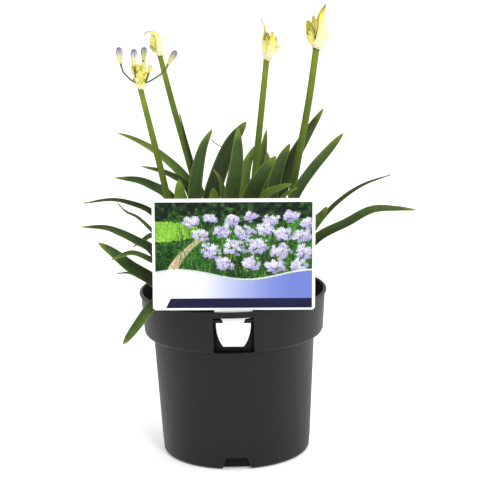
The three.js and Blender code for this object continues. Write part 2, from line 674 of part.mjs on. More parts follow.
// One bract as a curved shell, or the room it takes with `clear` all round.
function valve({ spine, rows }, clear = 0) {
  const middle = new THREE.CatmullRomCurve3(rows.map(([x, y, z]) => new Vector3(x, y, z)));
  const sizes = rows.map(([, , , radius, half]) => new Vector3(radius, half, 0));
  const measure = new THREE.CatmullRomCurve3(sizes);
  const outer = [];
  const inner = [];
  for (const { t, point, side, across } of carried(middle, steps(10), heading(spine))) {
    const { x: radius, y: half } = measure.getPoint(t);
    const arc = (size) => steps(6).map((turn) => {
      const angle = radians((half + 16 * clear) * (2 * turn - 1));
      return point.clone()
        .addScaledVector(side, size * Math.cos(angle))
        .addScaledVector(across, size * Math.sin(angle));
    });
    outer.push(arc(radius + clear));
    inner.push(arc(Math.max(0.15, radius - SPATHE_WALL - clear)));
  }
  return toSolid(sheet(outer, inner));
}

const spathe = ({ valves }) => toGeometry(join(valves.map((row) => valve(row))));

// ---------------------------------------------------------------------------------------------
// Assembly
// ---------------------------------------------------------------------------------------------
const plant = new THREE.Group();

function place(name, geometry, material, parent = plant) {
  const mesh = new THREE.Mesh(geometry, material);
  mesh.name = name;
  parent.add(mesh);
}

place('pot', pot(), MATERIAL.pot);
place('potting_mix', pottingMix(), MATERIAL.soil);
place('label_card', card(), MATERIAL.card);
LEAVES.forEach((row, i) => place(`leaf_${String(i + 1).padStart(2, '0')}`, leaf(row), MATERIAL.leaf));

const heads = SCAPES.map((row, i) => {
  place(`scape_${i + 1}`, scape(row), MATERIAL.scape);
  const head = new THREE.Group();
  head.position.set(...row.top);
  plant.add(head);
  return head;
});
place('umbel_1', openUmbel(), MATERIAL.bud, heads[0]);
for (const row of HEADS) {
  place(`spathe_${row.scape}`, spathe(row), MATERIAL.spathe, heads[row.scape - 1]);
  place(`buds_${row.scape}`, packedBuds(row), MATERIAL.bud, heads[row.scape - 1]);
}

export default plant;
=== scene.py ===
"""Agapanthus in a nursery pot, dressed: leaves, scapes, flower heads, potting mix, pot and card."""
import math

import bpy
import numpy as np
from mathutils import Matrix, Vector, noise


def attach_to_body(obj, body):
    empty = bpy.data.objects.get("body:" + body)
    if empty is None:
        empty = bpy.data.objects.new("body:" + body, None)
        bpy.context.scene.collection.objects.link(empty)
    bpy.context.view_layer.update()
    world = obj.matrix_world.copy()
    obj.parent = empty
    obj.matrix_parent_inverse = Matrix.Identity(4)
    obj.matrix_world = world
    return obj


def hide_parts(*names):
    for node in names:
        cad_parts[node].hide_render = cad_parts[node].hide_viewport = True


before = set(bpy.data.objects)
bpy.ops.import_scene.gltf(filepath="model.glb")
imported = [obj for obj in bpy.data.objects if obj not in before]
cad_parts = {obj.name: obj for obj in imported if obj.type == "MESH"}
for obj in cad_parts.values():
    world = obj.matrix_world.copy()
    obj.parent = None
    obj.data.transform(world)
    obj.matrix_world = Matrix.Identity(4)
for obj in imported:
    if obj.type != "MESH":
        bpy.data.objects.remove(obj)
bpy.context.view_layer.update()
MM = 0.001

# Shoots, leaves and scapes as in the solids: millimetres and degrees.
SHOOTS = {
    "left": (-31, -20, 200),
    "corner": (-37, -33, 205),
    "front": (-11, -44, 176),
    "middle": (6, -6, 10),
    "back": (-10, 14, 185),
    "right": (34, 8, 8),
    "rear": (18, 44, 75),
    "far": (-14, 48, 110),
}
ROOT_Z = 117
FIRST_RANK = 5
RANK_STEP = 2
LEAF_TIP = 1.2
TIP_CROWDING = 1.4  # the further above 1, the closer a leaf's sections lie towards its tip
TIP_ROUNDNESS = 0.6  # the lower, the blunter the tip
OPEN_BY = 0.6  # share of its length by which a leaf has turned its face
FOLD, UNFOLD = 0.45, 0.3  # depth of its channel per half width at the foot, and what it loses upwards
MARGIN, RIB = 0.35, 0.75  # how thick its margins are, and how much thicker its middle
BEND, TWIST = 0.1, 0.12  # how high the waves along it are

# Shoot, rank, midrib points, widest width, the way the upper face looks, how late it narrows, and
# tone from -1, dark, to 1, pale: each leaf's own lightness together with painted shade on the leaves that
# stand deep among the others.
LEAVES = [
    ("left", 1, [(-58, -8, 188), (-70, -6, 202), (-82, -7, 214), (-91, -8, 219), (-98, -10, 227)],
     4, (-110, 40), 1.7, 0.3),
    ("left", 2, [(-69, -32, 190), (-82, -34, 199), (-95, -38, 207), (-106, -40, 212), (-127, -42, 214)],
     10, (-80, 50), 1.5, -0.2),
    ("left", 3, [(-56, -30, 147), (-87, -42, 172), (-98, -48, 174)], 4, (-80, 50), 1.7, 0.1),
    ("left", -1, [(-31, 0, 228), (-30, 3, 243), (-23, 12, 271), (-15, 18, 285)], 13, (-90, 10), 2.4, -0.05),
    ("left", -2, [(-17, 4, 226), (-13, 10, 239), (1, 26, 270), (15, 36, 288)], 15, (-90, 10), 4.1, -0.95),
    ("corner", 1, [(-54, -43, 152), (-69, -48, 168), (-86, -54, 181), (-100, -60, 195), (-112, -64, 205)],
     11, (-80, 20), 2.7, -0.05),
    ("corner", 2, [(-61, -53, 151), (-69, -62, 148), (-83, -67, 131), (-94, -68, 117)],
     9, (-90, 40), 4.1, 0.1),
    ("front", 1, [(-14, -56, 240), (-14, -62, 249)], 11, (-90, 10), 5.1, 0.7),
    ("front", 2, [(-42, -50, 239), (-43, -52, 255)], 14, (-90, 10), 4.1, 0.5),
    ("front", -1, [(1, -46, 236), (6, -48, 267), (8, -48, 298)], 14, (-90, 0), 2.9, -0.15),
    ("front", -2, [(18, -42, 237), (27, -46, 256), (39, -50, 273)], 16, (-90, 10), 3.2, -0.4),
    ("front", -3, [(29, -34, 235), (42, -38, 243), (52, -42, 247)], 9, (-90, 40), 4.1, 0.6),
    ("front", -4, [(45, -34, 234), (57, -38, 243)], 6, (-90, 40), 3.2, 0.5),
    ("front", 3, [(-50, -58, 190), (-60, -62, 210)], 9, (-80, 30), 2.4, 0.0),
    ("front", 4, [(-58, -60, 182), (-69, -62, 189), (-84, -66, 196), (-94, -68, 194), (-101, -69, 191)],
     7, (-80, 50), 2.4, 0.15),
    ("middle", 1, [(22, 5, 170), (38, 12, 235), (44, 16, 254), (53, 22, 270)], 12, (-90, 10), 4.1, -0.15),
    ("middle", 2, [(56, -4, 229), (73, 0, 253), (83, 2, 264), (99, 6, 281)], 9, (-90, 20), 5.1, -0.15),
    ("middle", -1, [(-5, -20, 222), (-7, -22, 242), (-9, -22, 250), (-14, -22, 257)],
     8, (-90, 20), 1.9, 0.35),
    ("back", 1, [(-20, 17, 182), (-37, 21, 237), (-61, 22, 263), (-81, 23, 276), (-97, 22, 283)],
     10, (-80, 50), 2.1, 0.55),
    ("back", 2, [(-28, 9, 190), (-38, 12, 236), (-55, 12, 248), (-77, 12, 255)], 9, (-80, 50), 2.1, -0.6),
    ("back", 3, [(-38, 0, 190), (-54, -4, 231), (-69, -8, 242), (-80, -10, 247), (-99, -12, 250)],
     12, (-80, 40), 1.7, -0.5),
    ("back", 4, [(-47, 16, 176), (-70, 14, 213), (-89, 18, 221), (-104, 20, 224), (-130, 22, 221)],
     7, (-80, 50), 1.3, -0.2),
    ("back", 5, [(-46, 4, 164), (-60, 4, 188), (-70, 6, 194), (-78, 6, 190), (-87, 6, 184)],
     7, (-80, 40), 2.1, 0.2),
    ("back", -1, [(11, 20, 234), (15, 24, 252), (22, 30, 267)], 12, (-90, 0), 3.2, 0.75),
    ("back", -2, [(27, 34, 240), (30, 38, 262), (33, 42, 279)], 9, (-90, 10), 3.2, 0.3),
    ("right", 1, [(47, 13, 160), (74, 4, 203), (80, 3, 210), (84, 2, 217)], 10, (-90, 40), 5.1, 0.2),
    ("right", 2, [(61, -6, 172), (74, -6, 190), (101, -13, 206), (123, -18, 218), (143, -22, 219),
     (159, -24, 218)], 10, (-90, 50), 2.1, 0.0),
    ("right", 3, [(64, 18, 178), (90, 24, 212), (117, 29, 230), (142, 32, 238)], 5, (-100, 50), 1.7, 0.0),
    ("right", -1, [(33, 30, 252), (33, 32, 261)], 10, (-90, 10), 5.1, 0.1),
    ("rear", -1, [(51, 40, 242), (68, 45, 272), (84, 49, 296)], 13, (90, 12), 2.4, -0.6),
    ("rear", -2, [(-14, 28, 200), (-28, 26, 236), (-36, 26, 266), (-43, 26, 298)], 4, (90, 0), 1.7, -1.0),
    ("rear", 1, [(24, 78, 190), (36, 108, 196), (52, 136, 180)], 11, (-105, 50), 2.4, 0.0),
    ("rear", 2, [(30, 82, 160), (44, 106, 150), (52, 116, 128)], 10, (-110, 50), 2.4, 0.1),
    ("far", 1, [(-34, 84, 176), (-58, 110, 168)], 10, (-60, 50), 2.4, -0.1),
    ("far", 2, [(-18, 82, 152), (-24, 98, 150), (-30, 110, 124)], 9, (-80, 50), 2.4, 0.1),
    ("far", -1, [(-8, 56, 190), (-20, 62, 206)], 8, (90, 10), 3.2, 0.2),
]

# Foot, points along it, top, radius at foot and top.
SCAPES = [
    ((-31, -20), [(-57, -27, 250)], (-74, -30, 331), (3.3, 2.3)),
    ((-5, 30), [(-35, 29, 250), (-50, 31, 310)], (-59, 34, 349), (3.2, 2.25)),
    ((6, -6), [(23, 16, 255)], (34, 22, 344), (3.3, 2.5)),
    ((34, 8), [(56, 9, 240), (70, 12, 310)], (77, 14, 354), (3.2, 2.85)),
]


# ---- Curves and meshes ----
def heading(degrees):
    angle = math.radians(degrees)
    return np.array([math.cos(angle), math.sin(angle), 0.0])


def smooth(x):
    x = np.clip(x, 0, 1)
    return x * x * (3 - 2 * x)


def unit(v):
    return v / np.linalg.norm(v, axis=-1, keepdims=True)


class Through:
    """Centripetal curve through points, sampled finely."""

    def __init__(self, points, per_span=80):
        p = np.array(points, float)
        p = np.vstack([2 * p[0] - p[1], p, 2 * p[-1] - p[-2]])
        samples = []
        for i in range(1, len(p) - 2):
            a, b, c, d = p[i - 1:i + 3]
            da, db, dc = (math.sqrt(np.linalg.norm(v)) for v in (b - a, c - b, d - c))
            m1 = ((b - a) / da - (c - a) / (da + db) + (c - b) / db) * db
            m2 = ((c - b) / db - (d - b) / (db + dc) + (d - c) / dc) * db
            t = np.linspace(0, 1, per_span, endpoint=i == len(p) - 3)[:, None]
            samples.append((2 * t**3 - 3 * t**2 + 1) * b + (t**3 - 2 * t**2 + t) * m1
                           + (3 * t**2 - 2 * t**3) * c + (t**3 - t**2) * m2)
        points = np.vstack(samples)
        steps = np.linalg.norm(np.diff(points, axis=0), axis=1)
        self.length = np.concatenate([[0], np.cumsum(steps)])
        self.columns = np.hstack([points, unit(np.gradient(points, axis=0))]).T

    def read(self, scale, t):
        """Points and directions at places t on a scale that runs along the samples."""
        found = np.column_stack([np.interp(t, scale, column) for column in self.columns])
        return found[:, :3], unit(found[:, 3:])

    def by_length(self, t):
        """The same at shares of the length."""
        return self.read(self.length / self.length[-1], t)

    def by_span(self, t):
        """The same at shares of the way, each span counting alike."""
        return self.read(np.linspace(0, 1, len(self.length)), t)


def carried(tangents, start):
    """Side axes carried along a curve without twisting."""
    side = np.array(start, float)
    out = []
    for along in tangents:
        side = side - along * side.dot(along)
        side = side / np.linalg.norm(side)
        out.append(side)
    return np.array(out)


def grid_faces(rows, columns, closed=False, base=0, flip=False):
    i = np.arange(rows - 1)[:, None]
    k = np.arange(columns if closed else columns - 1)[None, :]
    k2 = (k + 1) % columns
    quads = np.stack([base + i * columns + k, base + i * columns + k2,
                      base + (i + 1) * columns + k2, base + (i + 1) * columns + k], -1).reshape(-1, 4)
    return quads[:, ::-1] if flip else quads


def border(rows, columns):
    """The points round the edge of a grid, in order."""
    count = rows * columns
    return [*range(columns), *range(2 * columns - 1, count, columns),
            *range(count - 2, count - columns - 1, -1), *range(count - 2 * columns, 0, -columns)]


def rim_faces(front, back):
    """Faces between two loops of points."""
    return [[b, a, c, d] for a, b, c, d in zip(front, front[1:] + front[:1], back, back[1:] + back[:1])]


def capped_faces(rows, columns):
    """Faces of a tube of rings, with fans to the two points that come after them."""
    faces = [list(f) for f in grid_faces(rows, columns, closed=True)]
    foot, last = rows * columns, (rows - 1) * columns
    for k in range(columns):
        nxt = (k + 1) % columns
        faces.append([foot, nxt, k])
        faces.append([foot + 1, last + k, last + nxt])
    return faces


def placed(name, data):
    obj = bpy.data.objects.new(name, data)
    bpy.context.scene.collection.objects.link(obj)
    return obj


def bare_mesh(name, points, faces):
    mesh = bpy.data.meshes.new(name)
    mesh.from_pydata(np.asarray(points, float).tolist(), [], [list(map(int, f)) for f in faces])
    mesh.update()
    return mesh


def attach(obj, node=None):
    """Rides on the root and stands for a CAD node."""
    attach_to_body(obj, "root")
    if node:
        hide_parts(node)


def make_mesh(name, points, faces, attributes, material, slot, node=None, rounded=True):
    """A piece from points in millimetres."""
    mesh = bare_mesh(name, np.asarray(points) * MM, faces)
    for key, values in attributes.items():
        values = np.asarray(values, np.float32)
        kind, field = ("FLOAT_COLOR", "color") if values.ndim == 2 else ("FLOAT", "value")
        mesh.attributes.new(key, kind, "POINT").data.foreach_set(field, values.ravel())
    mesh.polygons.foreach_set("use_smooth", [rounded] * len(mesh.polygons))
    mesh.update()
    mesh.validate()
    mesh.materials.append(material)
    attach(placed(name, mesh), node)


class Builder:
    """Collects tubes and sheets of one piece."""

    def __init__(self):
        self.points, self.faces, self.extra, self.count = [], [], {}, 0

    def add(self, points, faces, **extra):
        points = np.asarray(points, float).reshape(-1, 3)
        self.points.append(points)
        self.faces += [list(np.asarray(f) + self.count) for f in faces]
        for key, value in extra.items():
            self.extra.setdefault(key, []).append(np.broadcast_to(value, len(points)))
        self.count += len(points)

    def tube(self, rings, **extra):
        """Closed tube of rings with a point at both ends."""
        rings = np.asarray(rings)
        rows, columns = rings.shape[:2]
        points = np.vstack([rings.reshape(-1, 3), rings[0].mean(0), rings[-1].mean(0)])
        for key, value in extra.items():
            if np.ndim(value) == 1 and len(value) == rows:
                extra[key] = np.concatenate([np.repeat(value, columns), value[:1], value[-1:]])
        self.add(points, capped_faces(rows, columns), **extra)

    def sheet(self, grids, along, across, **extra):
        """Thin sheet between a front and a back grid, closed along their borders."""
        rows, columns = grids[0].shape[:2]
        count, edge = rows * columns, border(rows, columns)
        faces = [*grid_faces(rows, columns), *grid_faces(rows, columns, base=count, flip=True),
                 *rim_faces(edge, [k + count for k in edge])]
        self.add(np.vstack([grid.reshape(-1, 3) for grid in grids]), faces,
                 along=np.tile(np.repeat(along, columns), 2), across=np.tile(across, 2 * rows), **extra)

    def make(self, name, **given):
        attributes = {key: np.concatenate(parts) for key, parts in self.extra.items()}
        make_mesh(name, np.vstack(self.points), self.faces, attributes, **given)


# ---- Materials ----
def tint(code):
    """Display colour from 0 to 1 of a code such as "#7f7f7f"."""
    return np.array([int(code[i:i + 2], 16) / 255 for i in (1, 3, 5)])


def to_linear(values):
    return np.where(values <= 0.04045, values / 12.92, ((values + 0.055) / 1.055) ** 2.4)


class Value:
    """A node's output that takes part in arithmetic."""

    def __init__(self, nodes, socket):
        self.nodes, self.socket = nodes, socket

    def __add__(self, other):
        return self.nodes.math("ADD", self, other)

    def __sub__(self, other):
        return self.nodes.math("SUBTRACT", self, other)

    def __rsub__(self, other):
        return self.nodes.math("SUBTRACT", other, self)

    def __mul__(self, other):
        return self.nodes.math("MULTIPLY", self, other)

    def __pow__(self, other):
        return self.nodes.math("POWER", self, other)

    def __abs__(self):
        return self.nodes.math("ABSOLUTE", self)


class Nodes:
    """Short calls for the nodes of a material or the world."""

    def __init__(self, owner):
        owner.use_nodes = True
        self.tree = owner.node_tree

    def node(self, kind, **given):
        node = self.tree.nodes.new(kind)
        for key, value in given.items():
            setattr(node, key, value)
        return node

    def read(self, kind, output, **given):
        return Value(self, self.node(kind, **given).outputs[output])

    def link(self, value, socket):
        if isinstance(value, Value):
            self.tree.links.new(value.socket, socket)
        else:
            socket.default_value = [*to_linear(tint(value)), 1] if isinstance(value, str) else value

    def attributes(self, *names):
        return [self.read("ShaderNodeAttribute", "Fac", attribute_name=name) for name in names]

    def math(self, operation, *values):
        node = self.node("ShaderNodeMath", operation=operation)
        for socket, value in zip(node.inputs, values):
            self.link(value, socket)
        return Value(self, node.outputs[0])

    def noise(self, scale, detail=3, rough=0.5):
        node = self.node("ShaderNodeTexNoise")
        where = self.read("ShaderNodeTexCoord", "Object")
        for key, value in dict(Vector=where, Scale=scale, Detail=detail, Roughness=rough).items():
            self.link(value, node.inputs[key])
        return Value(self, node.outputs["Fac"])

    def ramp(self, value, *stops):
        """Colour codes or greys at places from 0 to 1."""
        node = self.node("ShaderNodeValToRGB")
        elements = node.color_ramp.elements
        while len(elements) < len(stops):
            elements.new(0.5)
        for element, (place, color) in zip(elements, stops):
            element.position = place
            element.color = [*(to_linear(tint(color)) if isinstance(color, str) else [color] * 3), 1]
        self.link(value, node.inputs["Fac"])
        return Value(self, node.outputs["Color"])

    def mix(self, factor, a, b):
        node = self.node("ShaderNodeMix", data_type="RGBA")
        for place, value in ((0, factor), (6, a), (7, b)):
            self.link(value, node.inputs[place])
        return Value(self, node.outputs[2])


class Surface(Nodes):
    """A material. What is the same all over it is set on the shader's own sockets."""

    def __init__(self, name, **even):
        self.material = bpy.data.materials.new(name)
        super().__init__(self.material)
        self.shader = self.tree.nodes["Principled BSDF"]
        for key, value in even.items():
            self.shader.inputs[key.replace("_", " ")].default_value = value

    def finish(self, color, rough=None, height=None, distance=0.0, strength=1.0):
        """The material with its colour, roughness and relief, whose depth is in metres."""
        self.link(color, self.shader.inputs["Base Color"])
        if rough is not None:
            self.link(rough, self.shader.inputs["Roughness"])
        if height is not None:
            bump = self.node("ShaderNodeBump")
            for key, value in dict(Height=height, Distance=distance, Strength=strength).items():
                self.link(value, bump.inputs[key])
            self.tree.links.new(bump.outputs["Normal"], self.shader.inputs["Normal"])
        return self.material


def leaf_material():
    n = Surface("leaf", Specular_IOR_Level=0.2)
    along, across, tone = n.attributes("along", "across", "tone")
    veins = n.math("SINE", across * 40.0)
    drift, patch = n.noise(140, 4), n.noise(26)
    # tone carries each leaf's own lightness and its painted shade; across * 0.09 paints one half of the
    # blade lighter than the other, as if lit from that side
    shade = tone * 0.3 + 0.42 + (patch - 0.5) * 0.55 + veins * 0.04 + across * 0.09
    # the along term paints shade towards the foot, where the leaves stand in each other's shade, and
    # lightens the blade towards the tip
    shade = shade + (drift - 0.5) * 0.2 + (along - 0.62) * 0.52
    green = n.ramp(shade, (0.0, "#161f08"), (0.3, "#2a3b13"), (0.55, "#42592a"), (0.8, "#67802f"),
                   (1.0, "#8c9d3a"))
    # yellower and lighter at the very tip; painted highlights along the thin margins, where the rims catch
    # the light, and faintly along the rib
    green = n.mix(n.ramp(along, (0.93, 0.0), (1.0, 0.85)), green, "#8a9b36")
    green = n.mix(abs(across) ** 14.0 * 0.7, green, "#8ba84a")
    green = n.mix((1.0 - abs(across)) ** 30.0 * 0.12, green, "#6b8b40")
    return n.finish(green, n.ramp(drift, (0.3, 0.46), (0.7, 0.62)), veins + drift * 2.0, 0.00012, 0.6)


def scape_material():
    n = Surface("scape", Specular_IOR_Level=0.22)
    along, around = n.attributes("along", "across")
    streak = n.math("SINE", around * 60.0)
    patch = n.noise(60)
    # painted shade down the stalk's two sides and painted light down its front and back, as if lit from the
    # front
    flat = n.math("COSINE", (around - 0.5) * (2 * math.pi))
    shade = along + (patch - 0.5) * 0.5 + streak * 0.05 + flat * 0.1
    green = n.ramp(shade, (0.0, "#34440e"), (0.5, "#4c6111"), (0.8, "#607616"), (0.93, "#6d841b"),
                   (1.0, "#7b9022"))
    # painted shade just under the head, which shades the top of the stalk
    green = n.mix(n.ramp(along, (0.93, 0.0), (0.99, 0.6)), green, "#5d7218")
    return n.finish(green, n.ramp(patch, (0.3, 0.5), (0.7, 0.62)), streak, 0.0001, 0.5)


def bud_material():
    """Young buds yellow, some olive at the tip, and ripe ones lilac or dull, with a dark tip."""
    n = Surface("bud", Specular_IOR_Level=0.3, Subsurface_Weight=0.08, Subsurface_Scale=0.002)
    along, tone, green, across = n.attributes("along", "tone", "green", "across")
    grain, blotch = n.noise(500), n.noise(260)
    young = n.ramp(along, (0.0, "#cdc850"), (0.3, "#efe662"), (0.7, "#fbf58e"), (1.0, "#f0e072"))
    olive = n.ramp(along, (0.0, "#d6d04e"), (0.4, "#cfcf54"), (0.7, "#9fae4c"), (1.0, "#74864a"))
    ripe = n.ramp(along, (0.0, "#c3c455"), (0.15, "#e6e27c"), (0.42, "#e9e8a4"), (0.6, "#d6d2c8"),
                  (0.82, "#b1abb9"), (0.93, "#77728b"), (1.0, "#4b475c"))
    dull = n.ramp(along, (0.0, "#b9bb4e"), (0.2, "#d6d46e"), (0.45, "#c3c58a"), (0.7, "#999b84"),
                  (0.9, "#77757c"), (1.0, "#494755"))
    color = n.mix(n.ramp(blotch, (0.54, 0.0), (0.7, 0.65)), n.mix(green, young, olive), "#d39d36")
    color = n.mix(tone, color, n.mix(green, ripe, dull))
    # the seams between the tepals
    seam = abs(n.math("COSINE", across * 3.0)) ** 5.0
    dark = n.mix(tone, "#9b952c", n.mix(green, "#5a5474", "#5a5a52"))
    color = n.mix(seam * n.ramp(along, (0.5, 0.2), (0.7, 0.6)), color, dark)
    color = n.mix((grain - 0.42) * 0.3, color, "#fffbd0")
    return n.finish(color, n.ramp(grain, (0.3, 0.45), (0.7, 0.62)), grain, 0.0001, 0.4)


def stalk_material():
    n = Surface("stalk", Specular_IOR_Level=0.3)
    along, depth = n.attributes("along", "tone")
    color = n.ramp(along, (0.0, "#8a8f38"), (0.25, "#5d6a2e"), (0.8, "#566230"), (1.0, "#77803a"))
    # painted shade: the deeper in its head a stalk lies, the darker; the dry strands take the darkest
    color = n.mix(depth * 0.8, color, "#3a4424")
    return n.finish(color, n.ramp(n.noise(300), (0.3, 0.45), (0.7, 0.6)))


def spathe_material():
    """Cream at the foot, lemon above, orange at the margins and olive at the beak and inside."""
    n = Surface("spathe", Specular_IOR_Level=0.25, Subsurface_Weight=0.1, Subsurface_Scale=0.002)
    along, across, tone, inner, blush = n.attributes("along", "across", "tone", "inner", "blush")
    veins = n.math("SINE", across * 34.0)
    blotch = n.noise(220, 4)
    specks = n.ramp(n.noise(600), (0.5, 0.0), (0.62, 0.8))
    color = n.ramp(along, (0.0, "#e9e5b4"), (0.1, "#f9f5cf"), (0.42, "#fbf5b2"), (0.68, "#f8ea54"),
                   (0.88, "#e8d636"), (0.97, "#8a8a3a"))
    above = n.ramp(along, (0.3, 0.0), (0.5, 1.0), (0.75, 1.0), (0.9, 0.4))
    color = n.mix(abs(across) ** 9.0 * above * blush, color, "#d99f30")
    color = n.mix(n.ramp(blotch, (0.52, 0.0), (0.72, 0.6)), color, "#ecd733")
    color = n.mix(n.ramp(along, (0.7, 0.0), (0.88, 1.0)) * n.math("SQRT", tone), color, "#6d7426")
    color = n.mix(n.ramp(along, (0.03, 0.8), (0.14, 0.0)) * specks, color, "#a4874a")
    lining = n.mix(specks, n.mix(tone, "#e6d463", "#b3bb4c"), "#e0d988")
    lining = n.mix(abs(across) ** 6.0, lining, "#efe58c")
    color = n.mix(inner * 0.85, color, lining)
    color = n.mix((veins + 1.0) * 0.05, color, "#b0a83c")
    return n.finish(color, n.ramp(blotch, (0.3, 0.45), (0.7, 0.65)), veins + blotch, 0.00025, 0.5)


def pot_material():
    n = Surface("pot_plastic", Specular_IOR_Level=0.3)
    grain, cloud = n.noise(900, 4), n.noise(14, 4)
    rough = n.ramp(grain * 0.5 + cloud * 0.5, (0.35, 0.4), (0.65, 0.56))
    return n.finish(n.mix(cloud, "#090a08", "#10100e"), rough, grain, 0.00008, 0.5)


def soil_material():
    n = Surface("potting_mix", Specular_IOR_Level=0.2, Roughness=0.95)
    along, = n.attributes("along")
    fine, coarse = n.noise(700, 5, 0.7), n.noise(120, 4)
    color = n.ramp(fine * 0.6 + coarse * 0.4,
                   (0.3, "#120f0b"), (0.5, "#2d251b"), (0.62, "#463a2a"), (0.72, "#716047"))
    # almost black low in the pot: painted shade for the dark inside the pot, seen through the drain mouths
    color = n.mix(n.ramp(along, (0.15, 0.95), (0.7, 0.0)), color, "#0c0a08")
    return n.finish(color, None, fine, 0.0012, 0.9)


def bark_material():
    n = Surface("bark", Specular_IOR_Level=0.25)
    tone, = n.attributes("tone")
    grain = n.noise(350, 5, 0.65)
    color = n.ramp(grain * 0.5 + tone * 0.5,
                   (0.2, "#17110c"), (0.45, "#34261a"), (0.7, "#5d4730"), (0.9, "#8c7152"))
    return n.finish(color, n.ramp(grain, (0.3, 0.75), (0.7, 0.95)), grain, 0.0006, 0.8)


def card_material():
    n = Surface("card_stock", Specular_IOR_Level=0.4)
    fibre = n.noise(1200)
    return n.finish(n.mix(fibre, "#f3f3f1", "#fbfbfa"), n.ramp(fibre, (0.3, 0.3), (0.7, 0.4)))


def print_material():
    n = Surface("card_print", Specular_IOR_Level=0.15)
    paint = n.read("ShaderNodeAttribute", "Color", attribute_name="paint")
    return n.finish(paint, n.ramp(n.noise(900, 2), (0.3, 0.4), (0.7, 0.5)))


LEAF, SCAPE, BUD, STALK = leaf_material(), scape_material(), bud_material(), stalk_material()
SPATHE, POT_PLASTIC, SOIL, BARK = spathe_material(), pot_material(), soil_material(), bark_material()
CARD, PRINT = card_material(), print_material()


# ---- Leaves ----
def leaf(number, row, stations=56, columns=13):
    """A blade that curls round its shoot at the foot and opens flat, with a channel and waves."""
    shoot, rank, through, width, (azimuth, elevation), taper, tone = row
    x, y, plane = SHOOTS[shoot]
    outward = heading(plane) * math.copysign(1, rank)
    root = np.array([x, y, ROOT_Z]) + outward * (FIRST_RANK + RANK_STEP * (abs(rank) - 1))
    t = 1 - (1 - np.linspace(0, 1, stations)[:, None]) ** TIP_CROWDING
    point, along = Through([root, *through]).by_length(t[:, 0])
    blade = heading(azimuth) * math.cos(math.radians(elevation))
    blade[2] = math.sin(math.radians(elevation))
    turned = smooth(t / OPEN_BY)
    face = blade * turned - outward * (1 - turned)
    face = unit(face - along * np.sum(face * along, 1, keepdims=True))
    side = np.cross(face, along)

    rise = 0.6 + 0.4 * smooth(t / 0.5)
    past = np.clip((t - 0.5) / 0.5, 0, 1)
    half = np.maximum(LEAF_TIP, width * rise * (1 - past**taper) ** TIP_ROUNDNESS) / 2
    s = np.sin(np.linspace(-1, 1, columns) * math.pi / 2)[None, :]
    phase = np.random.default_rng(number).uniform(0, 6.28, 2)
    wave = TWIST * np.sin(t * 21 + phase[0]) * s + BEND * np.sin(t * 34 + phase[1]) * s**2
    wave = wave * smooth(t * 2) * np.minimum(1, half / 2)
    channel = half * (FOLD - UNFOLD * turned) * (np.sqrt(s**2 + 0.02) - 0.14)
    thick = MARGIN + RIB * (half / (width / 2)) * (1 - np.abs(s)) ** 0.7 * (1 - 0.5 * t)
    middle = point[:, None] + side[:, None] * (half * s)[..., None]
    top = channel + wave + 0.15
    made = Builder()
    made.sheet([middle + face[:, None] * height[..., None] for height in (top, top - thick)],
               t[:, 0], s[0], tone=tone)
    name = f"leaf_{number:02d}"
    made.make(f"fine_{name}", material=LEAF, node=name, slot="leaf")


for number, row in enumerate(LEAVES, 1):
    leaf(number, row)


# ---- Scapes ----
def tube_rings(points, tangents, radii, sides, lobes=0.0):
    """Rings of points round a curve, with six faint ribs where lobes is above 0."""
    side = carried(tangents, (1, 0, 0))
    over = np.cross(tangents, side)
    turn = np.linspace(0, 2 * math.pi, sides, endpoint=False)
    shape = 1 + lobes * np.cos(6 * turn)
    ring = (side[:, None] * (np.cos(turn) * shape)[None, :, None]
            + over[:, None] * (np.sin(turn) * shape)[None, :, None])
    return points[:, None] + ring * np.asarray(radii)[:, None, None]


SEAT = 0.7  # how far a scape and its spathe reach into each other
COLLAR = 0.35  # how much a scape widens under its head


def scape(number, foot, along, top, radii, rows=60, sides=20):
    """A round stalk that widens a little under its head."""
    t = np.linspace(0, 1, rows)
    point, tangent = Through([(*foot, ROOT_Z), *along, top]).by_span(t)
    point = point + tangent * (SEAT * smooth((t - 0.9) / 0.1))[:, None]
    radius = radii[0] + (radii[1] - radii[0]) * t + COLLAR * smooth((t - 0.975) / 0.025)
    made = Builder()
    turn = np.tile(np.linspace(-1, 1, sides), rows)
    made.tube(tube_rings(point, tangent, radius, sides, lobes=0.012), along=t,
              across=np.concatenate([turn, [0, 0]]))
    made.make(f"fine_scape_{number}", material=SCAPE, node=f"scape_{number}", slot="scape")


for number, row in enumerate(SCAPES, 1):
    scape(number, *row)


# ---- Flower heads ----
# A bud's radius, as a share of its widest, at shares of its length.
BUD_OUTLINE = [(0, 0.2), (0.06, 0.36), (0.3, 0.68), (0.55, 0.95), (0.72, 1.0), (0.88, 0.8), (0.96, 0.46),
               (1, 0.04)]
SEAM = 0.13  # how deep the seams between the tepals are, as a share of the radius
STALK_RADIUS, STRAND_RADIUS = 0.75, 0.4
STALK_SIDES, CORE_SIDES = 10, 18
GOLDEN = 137.5  # degrees from one bud of a bunch to the next


